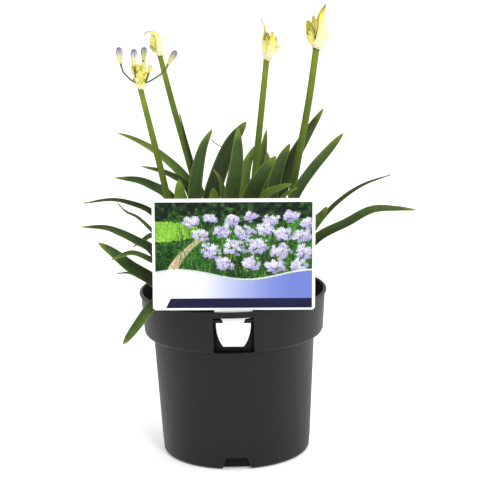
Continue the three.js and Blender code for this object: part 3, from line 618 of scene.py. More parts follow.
def bud(made, origin, start, end, width, tone, green=0.0, sides=24, rows=22):
    """A closed bud of six tepals from its foot to its blunt tip."""
    start, end = np.array(start, float) + origin, np.array(end, float) + origin
    outline = Through([(*pair, 0) for pair in BUD_OUTLINE]).by_span(np.linspace(0, 1, rows))[0]
    turn = np.linspace(0, 2 * math.pi, sides, endpoint=False)
    axis = unit(end - start)
    side = unit(np.cross(axis, (0.3, 1, 0.1)))
    over = np.cross(axis, side)
    seam = 1 - SEAM * np.abs(np.cos(3 * turn)) ** 5
    ring = side * (np.cos(turn) * seam)[:, None] + over * (np.sin(turn) * seam)[:, None]
    middle = start + (end - start) * outline[:, :1]
    rings = middle[:, None] + ring * (outline[:, 1] * width / 2)[:, None, None]
    angle = np.concatenate([np.tile(turn, rows), [0, 0]])
    made.tube(rings, along=outline[:, 0], across=angle, tone=tone, green=green)


def stalk(made, origin, points, radius, swell=0.5, depth=0.0):
    """A round thread through points, thicker by the share swell at its end."""
    t = np.linspace(0, 1, 26)
    point, tangent = Through([np.array(p, float) + origin for p in points]).by_span(t)
    size = radius * (1 + swell * smooth((t - 0.85) / 0.15))
    made.tube(tube_rings(point, tangent, size, STALK_SIDES), along=t, tone=depth)


def core(made, origin, profile):
    """The knob that the buds of a head sit on: rows of height and radius."""
    height = np.array([row[0] for row in profile])
    point = origin + np.column_stack([0 * height, 0 * height, height])
    upward = np.tile([0.0, 0, 1], (len(height), 1))
    rings = tube_rings(point, upward, [row[1] for row in profile], CORE_SIDES)
    made.tube(rings, along=height / height[-1] * 0.6, across=0, tone=0, green=0.5)


# Stalk, bud from foot to tip, the bud's width, how deep in the head the stalk lies, painted darker as shade,
# and how dull the bud.
STALKED = [
    ([(0, 0, 2), (-6.6, -1.6, 5.9), (-10.6, -2.8, 9.9), (-13.7, -3.6, 14.3), (-15.4, -4, 21)],
     [(-15.4, -4, 20), (-16.4, -5, 35)], 6.2, 0.2, 0.2),
    ([(0, 0, 2), (-3, -3, 9), (-4, -7, 20)], [(-4, -7, 18.6), (-3.6, -9, 33.6)], 6.4, 0.1, 0.0),
    ([(0, 0, 2), (2, 4, 10), (3.4, 7, 22)], [(3.4, 7, 20), (4.2, 8, 33)], 5.8, 1.0, 0.8),
    ([(0, 0, 2), (5, -2, 5), (8, -3, 12.4)], [(8, -3, 11.6), (9.8, -3, 19)], 4.4, 0.0, 0.3),
    ([(0, 0, 2), (6.9, 1, 4.1), (12.8, 2, 7.1), (18.2, 2.6, 10.5), (21.9, 3.4, 14.1), (24, 4, 18.2)],
     [(23.4, 4, 17.2), (31.4, 5, 29.6)], 6, 0.3, 0.7),
]
YOUNG_COUNT, YOUNG_LENGTH, YOUNG_WIDTH = 9, 9, 4.6
SMALL_COUNT = 16  # buds hardly grown, between the young ones
RIPE_WIDTH = 5  # a stalked bud as wide as this is ripe


def open_umbel(origin):
    """The first scape's head: stalked buds round a bunch of young ones."""
    made, stalks = Builder(), Builder()
    core(made, origin, [(0.8, 2.2), (4, 3.6), (9, 4.0), (14, 2.8), (16, 0.4)])
    for points, (start, end), width, depth, dull in STALKED:
        stalk(stalks, origin, points, STALK_RADIUS, depth=depth)
        bud(made, origin, start, end, width, 0.1 if width < RIPE_WIDTH else 1.0, dull)
    for i in range(YOUNG_COUNT):
        out = heading(GOLDEN * i)
        rise = 4 + 9 * i / YOUNG_COUNT
        start = out * 2 + [0, 0, rise]
        end = out * (7.5 - 3.5 * i / YOUNG_COUNT) + [0, 0, rise + YOUNG_LENGTH]
        bud(made, origin, start, end, YOUNG_WIDTH, 0.0, 0.3 * (i % 3 == 1))
    rng = np.random.default_rng(21)
    for i in range(SMALL_COUNT):
        out = heading(GOLDEN * i + 40) * rng.uniform(3.2, 5.4)
        foot = out * 0.6 + [0, 0, rng.uniform(1.5, 8)]
        end = out + [0, 0, foot[2] + rng.uniform(3.4, 6)]
        bud(made, origin, foot, end, rng.uniform(1.6, 2.8), 0.0, rng.random(), sides=12, rows=10)
    made.make("fine_umbel_1", material=BUD, node="umbel_1", slot="bud")
    stalks.make("stalks_1", material=STALK, slot="bud")


# Each head's valves, with the way the closed side faces, how green the inside and the beak are, how
# orange the margins, and the middle with radius and half angle; and its buds from foot to tip with
# width, ripeness and greenness.
HEADS = {
    2: dict(
        valves=[
            (-2, 0.5, 0.15, [(0, 0, 0.8, 3.2, 160), (-0.2, 0, 6, 3.8, 128), (-1.2, 0, 12, 4, 112),
                             (-3.2, 0, 17, 3.4, 96), (-7, 0, 19.8, 2.1, 80), (-10.6, 0, 20, 1.2, 70),
                             (-13, 0, 17.8, 0.8, 60)]),
        ],
        core=[(0.8, 1.6), (3.6, 2), (7.2, 1.2), (9, 0.2)],
        buds=[
            ((-0.6, -0.4, 3), (-8.6, -1, 9), 4, 0, 0.9),
            ((-0.6, -0.5, 4), (-8, -1.4, 13), 3.8, 0, 0.3),
            ((-0.6, 0, 4), (-7.6, -0.4, 16), 3.8, 0, 0.0),
            ((-0.6, 0.4, 4), (-7.4, 1.6, 11.4), 3.8, 0, 0.7),
            ((-0.6, -0.6, 3), (-6.6, -2.4, 7), 3.4, 0, 0.8),
            ((-0.6, 0, 2.4), (-7, 0.4, 5.4), 3, 0, 0.2),
            ((-0.6, 0.4, 6), (-7.2, 0, 19), 3.4, 0, 0.0),
            ((-0.6, -0.2, 6), (-4.8, -0.4, 17), 3.6, 0, 0.0),
        ],
    ),
    3: dict(
        valves=[
            (152, 0.1, 0.6, [(0.2, 0, 1.4, 3.2, 165), (1.2, 0, 6, 4.4, 112), (1.2, 0, 11, 5.2, 80),
                             (1, 0, 16, 5.2, 70), (0.6, 0, 20.6, 4.3, 68), (0.2, 0, 24.5, 2.5, 72),
                             (-0.4, 0, 28, 1.4, 70), (-1.6, 0, 32, 1.1, 65), (-4, 0, 36.5, 0.8, 60)]),
            (-75, 0.0, 0.2, [(0.4, 0, 1.6, 3.3, 80), (2.6, -0.6, 6, 4, 72), (4.2, -0.8, 12, 4, 65),
                             (4.8, -0.8, 17.4, 3.2, 60), (5, -0.6, 22, 2, 60), (5.4, -0.2, 25, 0.8, 60)]),
        ],
        core=[(0.8, 1.6), (3.6, 2), (7.2, 1.2), (9, 0.2)],
        buds=[
            ((0.8, 0.8, 3), (12, 3.4, 12.6), 4.2, 0, 0.0),
            ((0.8, 0.8, 4), (9.6, 2.8, 17.4), 4, 0, 0.1),
            ((0.6, 0.8, 4), (9.4, 2.6, 20.4), 3.8, 0.3, 0.3),
            ((0, 0.4, 4), (1.6, 0.8, 24.6), 3.8, 0.3, 0.8),
            ((0, 0, 4), (-1.2, -0.6, 20.6), 3.2, 0, 0.8),
            ((0.4, 0.2, 4), (1.4, -1.2, 19), 3.2, 0, 0.6),
            ((0.6, 0.6, 4), (5, 2.2, 23), 3.8, 0.2, 0.3),
            ((0, -0.2, 3), (-1.4, -1.6, 15), 3, 0, 0.3),
            ((0.2, -0.8, 3), (-2, -2.8, 18.4), 3.4, 0, 0.2),
            ((0.4, -1, 4), (0.4, -3, 21.6), 3.2, 0, 0.6),
            ((0, -1.2, 3), (-1.4, -3.4, 12.6), 3, 0, 0.1),
        ],
    ),
    4: dict(
        valves=[
            (5, 0.6, 0.8, [(0.4, 0, 1.4, 4.3, 165), (1.4, 0, 4, 5.8, 150), (2.8, 0, 9, 6.4, 130),
                           (3.6, 0, 16, 6.4, 118), (3, 0, 23.4, 4.9, 110), (3.6, 0, 28, 3.9, 112),
                           (5.2, 0, 32.6, 2.8, 110), (6.9, 0, 36, 1.9, 100), (8.4, 0, 38.6, 0.8, 80)]),
            (100, 0.45, 0.0, [(0, 0, 1.4, 3.6, 50), (-0.8, -0.8, 5, 3.6, 60), (-3.4, -2.6, 10, 3.7, 85),
                             (-4.4, -3.4, 15, 4.3, 100), (-5.6, -3, 20, 3.8, 105),
                             (-6.6, -2.4, 23.2, 2.4, 90), (-7.8, -2, 25.4, 0.8, 60)]),
        ],
        core=[(0.8, 1.6), (3.2, 2), (6.4, 1.2), (8, 0.2)],
        buds=[
            ((1.4, 0.4, 4), (-2.2, 2.8, 29), 4.4, 0, 0.6),
            ((1, 0, 4), (0.6, 0, 26), 3.8, 0, 0.1),
            ((-0.8, -1, 3), (-6.4, -4.6, 17), 3.6, 0, 0.3),
            ((-0.8, -0.8, 2), (-7.2, -3.8, 9.4), 3.4, 0, 0.2),
            ((-0.8, -1, 3), (-8, -5, 13), 3.6, 0, 0.2),
            ((-0.6, -0.8, 4), (-5.2, -3.6, 21), 3.2, 0, 0.8),
            ((2, 2, 3), (11.6, 6, 11.4), 3.4, 0, 0.1),
        ],
    ),
}


WALL, CRUMPLE, PLEAT = 0.45, 0.3, 0.09  # of a bract: thickness, and how high its waves and veins are
LEAST_RADIUS = 0.15


def valve(made, origin, phase, spine, green, blush, rows, stations=64, columns=33):
    """One bract of a spathe, papery, its margins waved."""
    t = np.linspace(0, 1, stations)
    point, tangent = Through([row[:3] for row in rows]).by_span(t)
    point = point - [0, 0, SEAT] * (1 - smooth(t / 0.1))[:, None]
    sizes = Through([(row[3], row[4], 0) for row in rows]).by_span(t)[0]
    side = carried(tangent, heading(spine))
    over = np.cross(tangent, side)
    turn = np.linspace(-1, 1, columns)[None, :]
    angle = np.radians(sizes[:, 1:2]) * turn
    ripple = np.abs(turn) ** 6 * CRUMPLE * np.sin(t * 27 + phase)[:, None] + PLEAT * np.sin(angle * 9)
    ripple = ripple * smooth(t / 0.1)[:, None]
    grids = []
    for inset in (0, WALL):
        radius = np.maximum(LEAST_RADIUS, sizes[:, :1] - inset + ripple * np.minimum(1, sizes[:, :1] / 4))
        grids.append(origin + point[:, None] + side[:, None] * (np.cos(angle) * radius)[..., None]
                     + over[:, None] * (np.sin(angle) * radius)[..., None])
    made.sheet(grids, t, turn[0], inner=np.repeat([0.0, 1.0], turn.size * t.size), tone=green, blush=blush)


# The three withered bracts at the foot of the open umbel.
BRACTS = [
    (222, 0.3, 0.0, [(0, 0, 0.4, 3.1, 80), (-0.4, -0.2, 4, 3.2, 72), (-1.6, -0.6, 9.5, 3.4, 60),
                     (-3.4, -1, 15, 3.6, 52), (-3.8, -0.6, 19, 2.6, 48), (-3.6, 0, 22.3, 0.6, 46)]),
    (-20, 0.2, 0.7, [(0, 0, 0.4, 3.1, 80), (1.2, -0.6, 3, 3.4, 70), (2.4, -0.8, 5.4, 2.4, 62),
                     (3.4, -0.6, 7.4, 0.6, 60)]),
    (-95, 0.2, 0.9, [(0, 0, 0.4, 3, 66), (-0.2, -0.8, 2.6, 3.2, 56), (0, -1.8, 4.8, 2.6, 50),
                     (0.5, -2.2, 6.6, 0.6, 48)]),
]

# Dry strands: one by a leaf's tip and one inside the rim.
STRANDS = [
    [(-16, 12, 277), (-12, 16, 273), (-7, 20, 269)],
    [(-70, -30, 146), (-68, -31, 152), (-64, -32, 156)],
]

TOPS = {number: np.array(row[2], float) for number, row in enumerate(SCAPES, 1)}
open_umbel(TOPS[1])
bracts = Builder()
for phase, row in enumerate(BRACTS):
    valve(bracts, TOPS[1], 1 + 2 * phase, *row)
bracts.make("bracts_1", material=SPATHE, slot="spathe")
for number, points in enumerate(STRANDS, 1):
    strand = Builder()
    stalk(strand, 0, points, STRAND_RADIUS, swell=0, depth=1.0)
    strand.make(f"dry_strand_{number}", material=STALK, slot="leaf")
for number, head in HEADS.items():
    spathe, bunch = Builder(), Builder()
    for phase, row in enumerate(head["valves"]):
        valve(spathe, TOPS[number], number + 2 * phase, *row)
    spathe.make(f"fine_spathe_{number}", material=SPATHE, node=f"spathe_{number}", slot="spathe")
    core(bunch, TOPS[number], head["core"])
    for row in head["buds"]:
        bud(bunch, TOPS[number], *row)
    bunch.make(f"fine_buds_{number}", material=BUD, node=f"buds_{number}", slot="bud")


# ---- Pot ----
# Pocket: sunk is how far its frame lies under the collar's face, and beyond a radius outside the pot.
POT = dict(height=146, wall=1.2, floor=1.8, lip=82.5, lip_height=2.5, collar_top=81.1, collar_foot=79,
           step=108, step_round=3.7, body_top=71.1, body_foot=65.3, foot_round=4.2)
POCKET = dict(half=17.2, wall=1.2, back=71.6, bridge=5.3, floor=109.4, sunk=0.3, beyond=86)
LUG = dict(reach=10, z=136.7, height=1.6, depth=3, y=-76)
DRAIN = dict(mouths=4, top_half=9, foot_half=14, height=11, reach=56, hole=4, ring=36)
AROUND = 288  # sides of a full turn
CREASE = 28  # degrees between faces from which an edge is sharp


def quarter(radius, height, size, start, end, count=10):
    """An arc of a profile round a middle, in degrees."""
    angle = np.radians(np.linspace(start, end, count + 1))
    return list(zip(radius + size * np.cos(angle), height + size * np.sin(angle)))


def pot_profile():
    g = POT
    bead = g["lip_height"] / 2
    inner = g["step_round"] - g["wall"]
    foot_middle = g["body_foot"] - g["foot_round"]
    step_middle = g["collar_foot"] - g["step_round"]
    outside = [
        *quarter(foot_middle, g["foot_round"], g["foot_round"], -90, 0),
        (g["body_top"], g["step"]),
        *quarter(step_middle, g["step"] + g["step_round"], g["step_round"], -90, 0),
        (g["collar_top"], g["height"] - g["lip_height"]),
        *quarter(g["lip"] - bead, g["height"] - bead, bead, -60, 90),
    ]
    inside = [
        (g["collar_top"] - g["wall"], g["height"]),
        (g["collar_foot"] - g["wall"], g["step"] + g["step_round"]),
        *quarter(step_middle, g["step"] + g["step_round"], inner, -30, -90, 6),
        (g["body_top"] - g["wall"], g["step"] + g["wall"]),
        (g["body_foot"] - g["wall"], g["foot_round"] + g["wall"]),
        (foot_middle, g["floor"]),
    ]
    return outside + inside


def lathe(profile, around=AROUND):
    """A profile turned about Z, its two ends closed by a fan each."""
    turn = np.linspace(0, 2 * math.pi, around, endpoint=False)
    points = [(r * math.cos(a), r * math.sin(a), z) for r, z in profile for a in turn]
    return points + [(0, 0, profile[0][1]), (0, 0, profile[-1][1])], capped_faces(len(profile), around)


def sector(half, inner, outer, bottom, top, steps=24):
    """The part of a ring wall in front, |x| < half: outer is its radius at bottom and top."""
    x = np.linspace(-half, half, steps + 1)
    points = []
    for z, far in ((bottom, outer[0]), (top, outer[1])):
        points += [(v, -math.sqrt(far**2 - v**2), z) for v in x]
        points += [(v, -math.sqrt(inner**2 - v**2), z) for v in x[::-1]]
    ring = 2 * (steps + 1)
    faces = [list(range(ring))[::-1], list(range(ring, 2 * ring))]
    faces += [[k, (k + 1) % ring, ring + (k + 1) % ring, ring + k] for k in range(ring)]
    return points, faces


def prism(outline, low, high):
    """An outline in X and Z pulled along Y."""
    count = len(outline)
    points = [(x, low, z) for x, z in outline] + [(x, high, z) for x, z in outline]
    faces = [list(range(count)), list(range(count, 2 * count))[::-1]]
    faces += [[k, count + k, count + (k + 1) % count, (k + 1) % count] for k in range(count)]
    return points, faces


def rotated(shape, degrees):
    points, faces = shape
    c, s = math.cos(math.radians(degrees)), math.sin(math.radians(degrees))
    return [(x * c - y * s, x * s + y * c, z) for x, y, z in points], faces


def combine(base, shape, operation):
    """Adds a shape to a body or cuts it away, in millimetres."""
    tool = placed("tool", bare_mesh("tool", *shape))
    modifier = base.modifiers.new("cut", "BOOLEAN")
    modifier.operation = operation
    modifier.solver = "EXACT"
    modifier.object = tool
    graph = bpy.context.evaluated_depsgraph_get()
    mesh = bpy.data.meshes.new_from_object(base.evaluated_get(graph))
    base.modifiers.clear()
    spent = [base.data, tool.data]
    base.data = mesh
    bpy.data.objects.remove(tool)
    for old in spent:
        bpy.data.meshes.remove(old)


def pot():
    half, wall, back, floor, sunk = (POCKET[key] for key in ("half", "wall", "back", "floor", "sunk"))
    top, beyond = POT["height"], POCKET["beyond"]
    body = placed("fine_pot", bare_mesh("fine_pot", *lathe(pot_profile())))
    outer = (POT["collar_foot"] - sunk, POT["collar_top"] - sunk)
    combine(body, sector(half + wall, back - wall, outer, floor - wall - sunk, top), "UNION")
    combine(body, sector(half, back, (beyond, beyond), floor, top - POCKET["bridge"]), "DIFFERENCE")
    slot = POT["collar_top"] - POT["wall"]
    combine(body, sector(half, back, (slot, slot), floor, top + 1), "DIFFERENCE")
    for side in (-1, 1):
        low, high = sorted((side * LUG["reach"], side * (half + wall / 2)))
        z, y = LUG["z"], LUG["y"]
        outline = [(low, z), (high, z), (high, z + LUG["height"]), (low, z + LUG["height"])]
        combine(body, prism(outline, y - LUG["depth"] / 2, y + LUG["depth"] / 2), "UNION")
    wide, narrow, tall = DRAIN["foot_half"], DRAIN["top_half"], DRAIN["height"]
    mouth = [(-wide, -1), (wide, -1), (wide - 2, 2), (narrow, tall), (-narrow, tall), (2 - wide, 2)]
    for i in range(DRAIN["mouths"]):
        turn = 360 / DRAIN["mouths"] * i
        combine(body, rotated(prism(mouth, -POT["body_top"], -DRAIN["reach"]), turn), "DIFFERENCE")
        points, faces = lathe([(DRAIN["hole"], -1), (DRAIN["hole"], POT["floor"] + 1)], 32)
        combine(body, (np.array(points) + heading(turn + 45) * DRAIN["ring"], faces), "DIFFERENCE")
    mesh = body.data
    for vertex in mesh.vertices:
        vertex.co *= MM
    mesh.polygons.foreach_set("use_smooth", [True] * len(mesh.polygons))
    mesh.set_sharp_from_angle(angle=math.radians(CREASE))
    mesh.materials.clear()
    mesh.materials.append(POT_PLASTIC)
    attach(body, "pot")


pot()


# ---- Potting mix ----
SURFACE, RELIEF, CLEAR = 124, 1.4, 0.4  # height and unevenness of the mix's top, and its gap to the pot


def relief(x, y):
    swell = math.sin(x / 9 + 1.3) * math.cos(y / 11 - 0.4) + 0.6 * math.sin((x - y) / 6)
    return RELIEF * swell * 0.6


def crumb(x, y):
    """Fine unevenness of the mix."""
    coarse = noise.fractal(Vector((x / 7, y / 7, 3.1)), 1.0, 2.0, 3)
    return 0.7 * coarse + 0.35 * noise.noise(Vector((x / 1.6, y / 1.6, 8.7)))


def potting_mix(around=240, rings=70):
    """The plug that fills the pot, drawn in behind the pocket."""
    g = POT
    taper = (g["collar_top"] - g["collar_foot"]) / (g["height"] - g["step"])
    inner = g["wall"] + CLEAR
    edge = g["collar_foot"] - inner + taper * (SURFACE - g["step"])
    rows = [
        (g["body_foot"] - g["foot_round"] - 1, g["floor"] + CLEAR),
        (g["body_foot"] - inner, g["foot_round"] + g["wall"] + 1),
        (g["body_top"] - inner, g["step"] + g["wall"] - 1),
        (g["body_top"] - inner, g["step"] + inner),
        (g["collar_foot"] - g["step_round"], g["step"] + inner),
        (g["collar_foot"] - inner - 0.1, g["step"] + g["step_round"]),
    ]
    rows += [(edge * (1 - i / rings), None) for i in range(rings)]
    pocket = POCKET["half"] + POCKET["wall"] + CLEAR
    behind = POCKET["back"] - POCKET["wall"] - CLEAR
    turn = np.linspace(0, 2 * math.pi, around, endpoint=False)
    points = []
    for radius, height in rows:
        for a in turn:
            x, y = radius * math.cos(a), radius * math.sin(a)
            shrink = behind / radius if radius > behind and abs(x) < pocket and y < 0 else 1
            x, y = x * shrink, y * shrink
            fade = min(1, (edge - radius) / 2)
            z = SURFACE + relief(x, y) + fade * crumb(x, y) if height is None else height
            points.append((x, y, z))
    points += [(0, 0, g["floor"] + CLEAR), (0, 0, SURFACE + relief(0, 0))]
    make_mesh("fine_potting_mix", points, capped_faces(len(rows), around),
              {"along": [point[2] / SURFACE for point in points]},
              material=SOIL, node="potting_mix", slot="soil")


# Chips lie within reach of the pot's axis, and those by the pocket within clear of it.
CHIPS = dict(count=420, reach=76, pocket=24, clear=69, sides=7)


def bark():
    """Chips of bark lying on the mix."""
    rng = np.random.default_rng(11)
    made = Builder()
    lying, sides = 0, CHIPS["sides"]
    while lying < CHIPS["count"]:
        radius, angle = CHIPS["reach"] * math.sqrt(rng.random()), rng.uniform(0, 2 * math.pi)
        x, y = radius * math.cos(angle), radius * math.sin(angle)
        size = rng.uniform(1.4, 5.5) * rng.uniform(0.6, 1)
        if abs(x) < CHIPS["pocket"] and y < 0 and radius + size > CHIPS["clear"]:
            continue
        length, width, depth = size, size * rng.uniform(0.35, 0.8), size * rng.uniform(0.14, 0.34)
        turn = np.linspace(0, 2 * math.pi, sides, endpoint=False) + rng.uniform(0, 1)
        jitter = rng.uniform(0.75, 1.15, sides)
        ring = np.column_stack([np.cos(turn) * length * jitter, np.sin(turn) * width * jitter, 0 * turn])
        rings = np.array([ring * share + [0, 0, depth * height]
                          for share, height in ((0.7, -1), (1, -0.3), (1, 0.5), (0.8, 1))])
        rings = rings + rng.normal(0, 0.06 * size, (4, sides, 3)) * [1, 1, 0.5]
        spin = Matrix.Rotation(rng.uniform(0, 6.28), 3, "Z") @ Matrix.Rotation(rng.normal(0, 0.28), 3, "X")
        spin = spin @ Matrix.Rotation(rng.normal(0, 0.2), 3, "Y")
        rings = rings @ np.array(spin).T
        rings = rings + [x, y, SURFACE + relief(x, y) + 0.3 + depth * rng.uniform(0.1, 0.9)]
        made.tube(rings, tone=rng.random())
        lying += 1
    made.make("bark_chips", material=BARK, slot="soil", rounded=False)


potting_mix()
bark()


# ---- Card ----
# Millimetres; turn in degrees about a pivot in the tab, and the print's edges from the card's
# lower left corner.
CARD_SIZE = dict(width=136.2, height=95.7, thickness=0.7, y=-77.4, bottom=147.4, turn=-1.1, shift=0.6,
                 pivot=135.8)
PRINT_AREA = dict(left=2.4, right=133.7, bottom=1.8, top=92.7)
PRINT_STEP = 0.45
PRINT_PROUD, PRINT_DEPTH = 0.06, 0.16
PAPER, FOAM, BLUE, NAVY = "#f8f8f7", "#fbfbfb", "#6f7fca", "#15173a"
WAVE, BAND = 28.5, 8.6  # how high the wave and the dark band reach


def clouds(rng, shape, cell):
    """Smooth noise from 0 to 1 on a grid, its cells that many points wide."""
    rows, columns = shape
    lattice = rng.random((int(rows / cell) + 3, int(columns / cell) + 3))
    i, k = np.arange(rows) / cell, np.arange(columns) / cell
    i0, k0 = i.astype(int), k.astype(int)
    down, over = smooth(i - i0)[:, None], smooth(k - k0)[None, :]
    a, b = lattice[np.ix_(i0, k0)], lattice[np.ix_(i0, k0 + 1)]
    c, d = lattice[np.ix_(i0 + 1, k0)], lattice[np.ix_(i0 + 1, k0 + 1)]
    return (a * (1 - over) + b * over) * (1 - down) + (c * (1 - over) + d * over) * down


class Canvas:
    """A picture in display colours, painted from the back to the front, in millimetres."""

    def __init__(self, width, height, step):
        self.columns, self.rows = int(round(width / step)) + 1, int(round(height / step)) + 1
        self.x = np.linspace(0, width, self.columns)
        self.z = np.linspace(0, height, self.rows)
        self.pixels = np.ones((self.rows, self.columns, 3)) * tint(PAPER)

    def window(self, x, z, reach):
        k = np.searchsorted(self.x, (x - reach, x + reach))
        i = np.searchsorted(self.z, (z - reach, z + reach))
        return slice(*i), slice(*k)

    def lay(self, mask, color, where=(slice(None), slice(None))):
        part = self.pixels[where]
        mask = np.clip(mask, 0, 1)[..., None]
        self.pixels[where] = part * (1 - mask) + np.asarray(color) * mask

    def stroke(self, start, bend, end, width, color):
        """A tapering curved blade of grass."""
        for t in np.linspace(0, 1, 14):
            x, z = (np.array(start) * (1 - t) ** 2 + np.array(bend) * 2 * t * (1 - t) + np.array(end) * t**2)
            size = width * (1 - 0.75 * t)
            where = self.window(x, z, size + 1)
            far = np.hypot(self.x[where[1]][None, :] - x, self.z[where[0]][:, None] - z)
            self.lay((size - far) / 0.4 + 0.3, color, where)

    def flower(self, x, z, size, turn, squash, color, shade, petals=5):
        """A floret with narrow petals, shaded towards its eye."""
        where = self.window(x, z, size * 1.3)
        dx = self.x[where[1]][None, :] - x
        dz = (self.z[where[0]][:, None] - z) / squash
        far, angle = np.hypot(dx, dz), np.arctan2(dz, dx) + turn
        edge = size * (0.3 + 0.7 * np.abs(np.cos(angle * petals / 2)) ** 1.3)
        glow = np.clip(far / size * 1.4, 0, 1)[..., None]
        self.lay((edge - far) / 0.45 + 0.3, np.asarray(shade) * (1 - glow) + np.asarray(color) * glow, where)


def between(dark, light, share):
    return tint(dark) * (1 - share) + tint(light) * share


# Bunches of flowers on the card: middle and reach, in millimetres from the picture's lower left.
BUNCHES = [(30, 74, 6), (47, 77, 5), (64, 75, 6), (80, 79, 5), (97, 76, 6), (114, 79, 6), (127, 73, 6),
           (38, 63, 7), (56, 66, 7), (74, 65, 8), (91, 67, 7), (107, 64, 8), (123, 62, 7), (46, 50, 8),
           (66, 52, 9), (86, 53, 9), (105, 49, 9), (125, 48, 8), (58, 39, 8), (80, 38, 8), (101, 36, 8),
           (121, 36, 7)]
BLADES = 1500


def meadow(canvas, low, high):
    """A sunny bed of pale flowers before a hedge, with a lawn and a path on the left."""
    rng = np.random.default_rng(5)
    shape = (canvas.rows, canvas.columns)
    x, z = canvas.x[None, :], canvas.z[:, None]
    width = canvas.x[-1]
    broad, fine, leafy = (clouds(rng, shape, cell)[..., None] for cell in (26, 2.4, 7))
    hedge = between("#0b1710", "#3a6628", leafy**1.6) * (0.45 + fine)
    field = between("#0e2c12", "#3f7f2b", broad) * (0.35 + 1.1 * fine)
    canvas.lay((z > low - 9) * np.ones_like(x), field)
    horizon = high - 17 + 4 * np.sin(x / 17) + 3 * (leafy[..., 0] - 0.5)
    canvas.lay((z - horizon) / 2, hedge)
    lawn = 1 - (x / 40) ** 2 - ((z - (high - 25)) / 9) ** 2 + 0.25 * (fine[..., 0] - 0.5)
    canvas.lay(lawn * 9, between("#5f9a2c", "#a5d94f", fine))
    path = 5.5 - 0.06 * (z - low) - np.abs(x - 12 - 0.018 * (z - low + 6) ** 2)
    canvas.lay(path * (z < high - 31), between("#a78f6c", "#e2d0ae", fine))
    for _ in range(BLADES):
        foot = np.array([rng.uniform(19, width), rng.uniform(low - 10, high - 22)])
        lean, tall = rng.normal(0, 3.4), rng.uniform(4, 11)
        green = between("#0f3216", "#8fc54c", rng.random() ** 2)
        bend = foot + [lean * 0.3, tall * 0.7]
        canvas.stroke(foot, bend, foot + [lean, tall], rng.uniform(0.2, 0.5), green)
    for cx, cz, reach in BUNCHES:
        for _ in range(3):
            foot = np.array([cx + rng.normal(0, 3), cz - reach * 2.2])
            canvas.stroke(foot, foot + [0, reach], (cx + rng.normal(0, 2), cz), 0.35, tint("#6fa23c"))
        for _ in range(int(reach * 6.5)):
            angle, out = rng.uniform(0, 6.28), math.sqrt(rng.random()) * rng.uniform(0.7, 1.25)
            side, rise = out * math.cos(angle), out * math.sin(angle)
            light = float(np.clip(0.55 + 0.35 * rise - 0.1 * side + rng.normal(0, 0.2), 0, 1))
            canvas.flower(cx + reach * side, cz + reach * 0.75 * rise, rng.uniform(1.3, 2.3),
                          rng.uniform(0, 6), rng.uniform(0.6, 1), between("#a79cd2", "#ffffff", light),
                          between("#5d4f97", "#c3b6e4", light))


def print_face():
    """The printed picture as a thin sheet on the card, its colours one to a point."""
    g, card = PRINT_AREA, CARD_SIZE
    width, height = g["right"] - g["left"], g["top"] - g["bottom"]
    canvas = Canvas(width, height, PRINT_STEP)
    meadow(canvas, WAVE - 1, height)
    x, z = canvas.x[None, :], canvas.z[:, None]
    wave = WAVE + 4.2 * np.sin(x / width * 2 * math.pi * 1.15 + 0.5)
    canvas.lay((wave - z) / 0.6, between(PAPER, BLUE, smooth((x / width - 0.1) / 0.8)[..., None]))
    canvas.lay((np.abs(wave - z + 0.4) < 0.7) * 0.8, tint(FOAM))
    canvas.lay((BAND - z) / 0.5 * ((x > 8.5 + 0.5 * z) & (x < width)), tint(NAVY))
    rows, columns = canvas.rows, canvas.columns
    colors = np.dstack([to_linear(np.clip(canvas.pixels, 0, 1)), np.ones((rows, columns))]).reshape(-1, 4)

    px, pz = np.meshgrid(canvas.x + g["left"], canvas.z + g["bottom"])
    px = px - card["width"] / 2 + card["shift"]
    lift = pz + card["bottom"] - card["pivot"]
    angle = math.radians(-card["turn"])
    c, s = math.cos(angle), math.sin(angle)
    front = np.full(px.shape, card["y"] - card["thickness"] / 2 - PRINT_PROUD)
    turned = np.stack([px * c + lift * s, front, card["pivot"] - px * s + lift * c], -1).reshape(-1, 3)
    edge = border(rows, columns)
    points = np.vstack([turned, turned[edge] + [0, PRINT_DEPTH, 0]])
    behind = list(range(len(turned), len(points)))
    faces = [*grid_faces(rows, columns), behind[::-1], *rim_faces(edge, behind)]
    make_mesh("card_print", points, faces, {"paint": np.vstack([colors, colors[edge]])}, material=PRINT,
              slot="card", rounded=False)


print_face()
card_mesh = bpy.data.objects["label_card"].data
card_mesh.materials.clear()
card_mesh.materials.append(CARD)


# ---- Camera, floor and light ----
# The lens in millimetres, and in metres and degrees the point looked at, and how far off, how high
# and how tilted the camera is.
VIEW = dict(lens=139.46, target=(0.00724, 0, 0.18941), distance=1.63084, rise=13.23, roll=1.36)
# Strength of the surround low in front, what its right adds, the whole surround and the floor.
FRONT_GLOW, RIGHT_GLOW, SKY, FLOOR_GLOW = 0.3, 0.3, 1.05, 0.22
FLOOR_HALF = 12
# Each light's place and target, its width and its power in watts.
LIGHTS = {
    "key": ((0.5, -1.5, 1.7), (0, 0, 0.25), 0.5, 15),
    "right": ((1.9, 0.3, 0.5), (0, 0, 0.1), 0.8, 4),
}


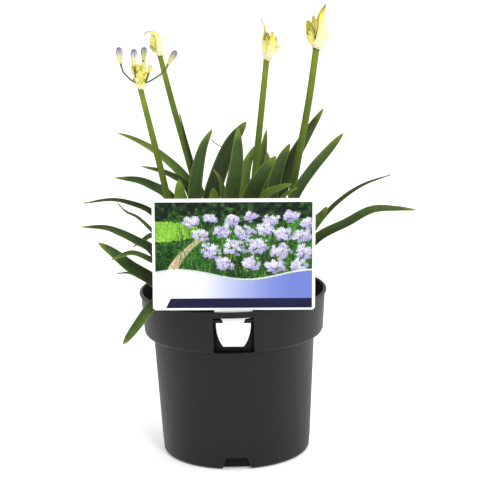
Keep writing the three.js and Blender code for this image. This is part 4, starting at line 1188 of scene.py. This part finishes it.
def camera():
    data = bpy.data.cameras.new("camera")
    data.sensor_width = 36
    data.lens = VIEW["lens"]
    data.clip_end = 30
    rise, roll = math.radians(VIEW["rise"]), math.radians(VIEW["roll"])
    back = Vector((0, -math.cos(rise), math.sin(rise)))
    right = Vector((1, 0, 0))
    up = back.cross(right)
    across = right * math.cos(roll) - up * math.sin(roll)
    upward = right * math.sin(roll) + up * math.cos(roll)
    turned = Matrix((across, upward, back)).transposed().to_4x4()
    obj = placed("camera", data)
    obj.matrix_world = Matrix.Translation(Vector(VIEW["target"]) + back * VIEW["distance"]) @ turned
    bpy.context.scene.camera = obj


def area_light(name, place, target, size, power):
    data = bpy.data.lights.new(name, "AREA")
    data.shape = "DISK"
    data.size = size
    data.energy = power
    obj = placed(name, data)
    obj.location = place
    obj.rotation_mode = "QUATERNION"
    obj.rotation_quaternion = (Vector(target) - Vector(place)).to_track_quat("-Z", "Y")


def surround():
    """White all round, dimmer low in front of the object and brightest at its right."""
    world = bpy.data.worlds.new("studio")
    bpy.context.scene.world = world
    n = Nodes(world)
    way = n.node("ShaderNodeSeparateXYZ")
    n.link(n.read("ShaderNodeTexCoord", "Generated"), way.inputs[0])
    x, y, z = (Value(n, output) for output in way.outputs)

    def step(*values):
        node = n.node("ShaderNodeMapRange", interpolation_type="SMOOTHSTEP")
        for socket, value in zip(node.inputs, values):
            n.link(value, socket)
        return Value(n, node.outputs[0])

    glow = step(y + z * 0.9, -0.85, 0.25, FRONT_GLOW, 1.0) + step(x, 0.0, 0.9, 0.0, RIGHT_GLOW)
    seen = n.read("ShaderNodeLightPath", "Is Camera Ray")
    back = n.tree.nodes["Background"]
    back.inputs["Color"].default_value = (1, 1, 1, 1)
    n.link(n.math("MAXIMUM", glow * SKY, seen), back.inputs["Strength"])


def ground():
    surface = Surface("floor", Base_Color=(0.94, 0.94, 0.94, 1), Roughness=0.95, Specular_IOR_Level=0.0,
                      Emission_Color=(1, 1, 1, 1), Emission_Strength=FLOOR_GLOW)
    corners = np.array([(-1, -1, 0), (1, -1, 0), (1, 1, 0), (-1, 1, 0)]) * FLOOR_HALF
    mesh = bare_mesh("floor", corners, [(0, 1, 2, 3)])
    mesh.materials.append(surface.material)
    placed("floor", mesh)


bpy.context.scene.view_settings.view_transform = "Standard"
camera()
surround()
for name, row in LIGHTS.items():
    area_light(name, *row)
ground()
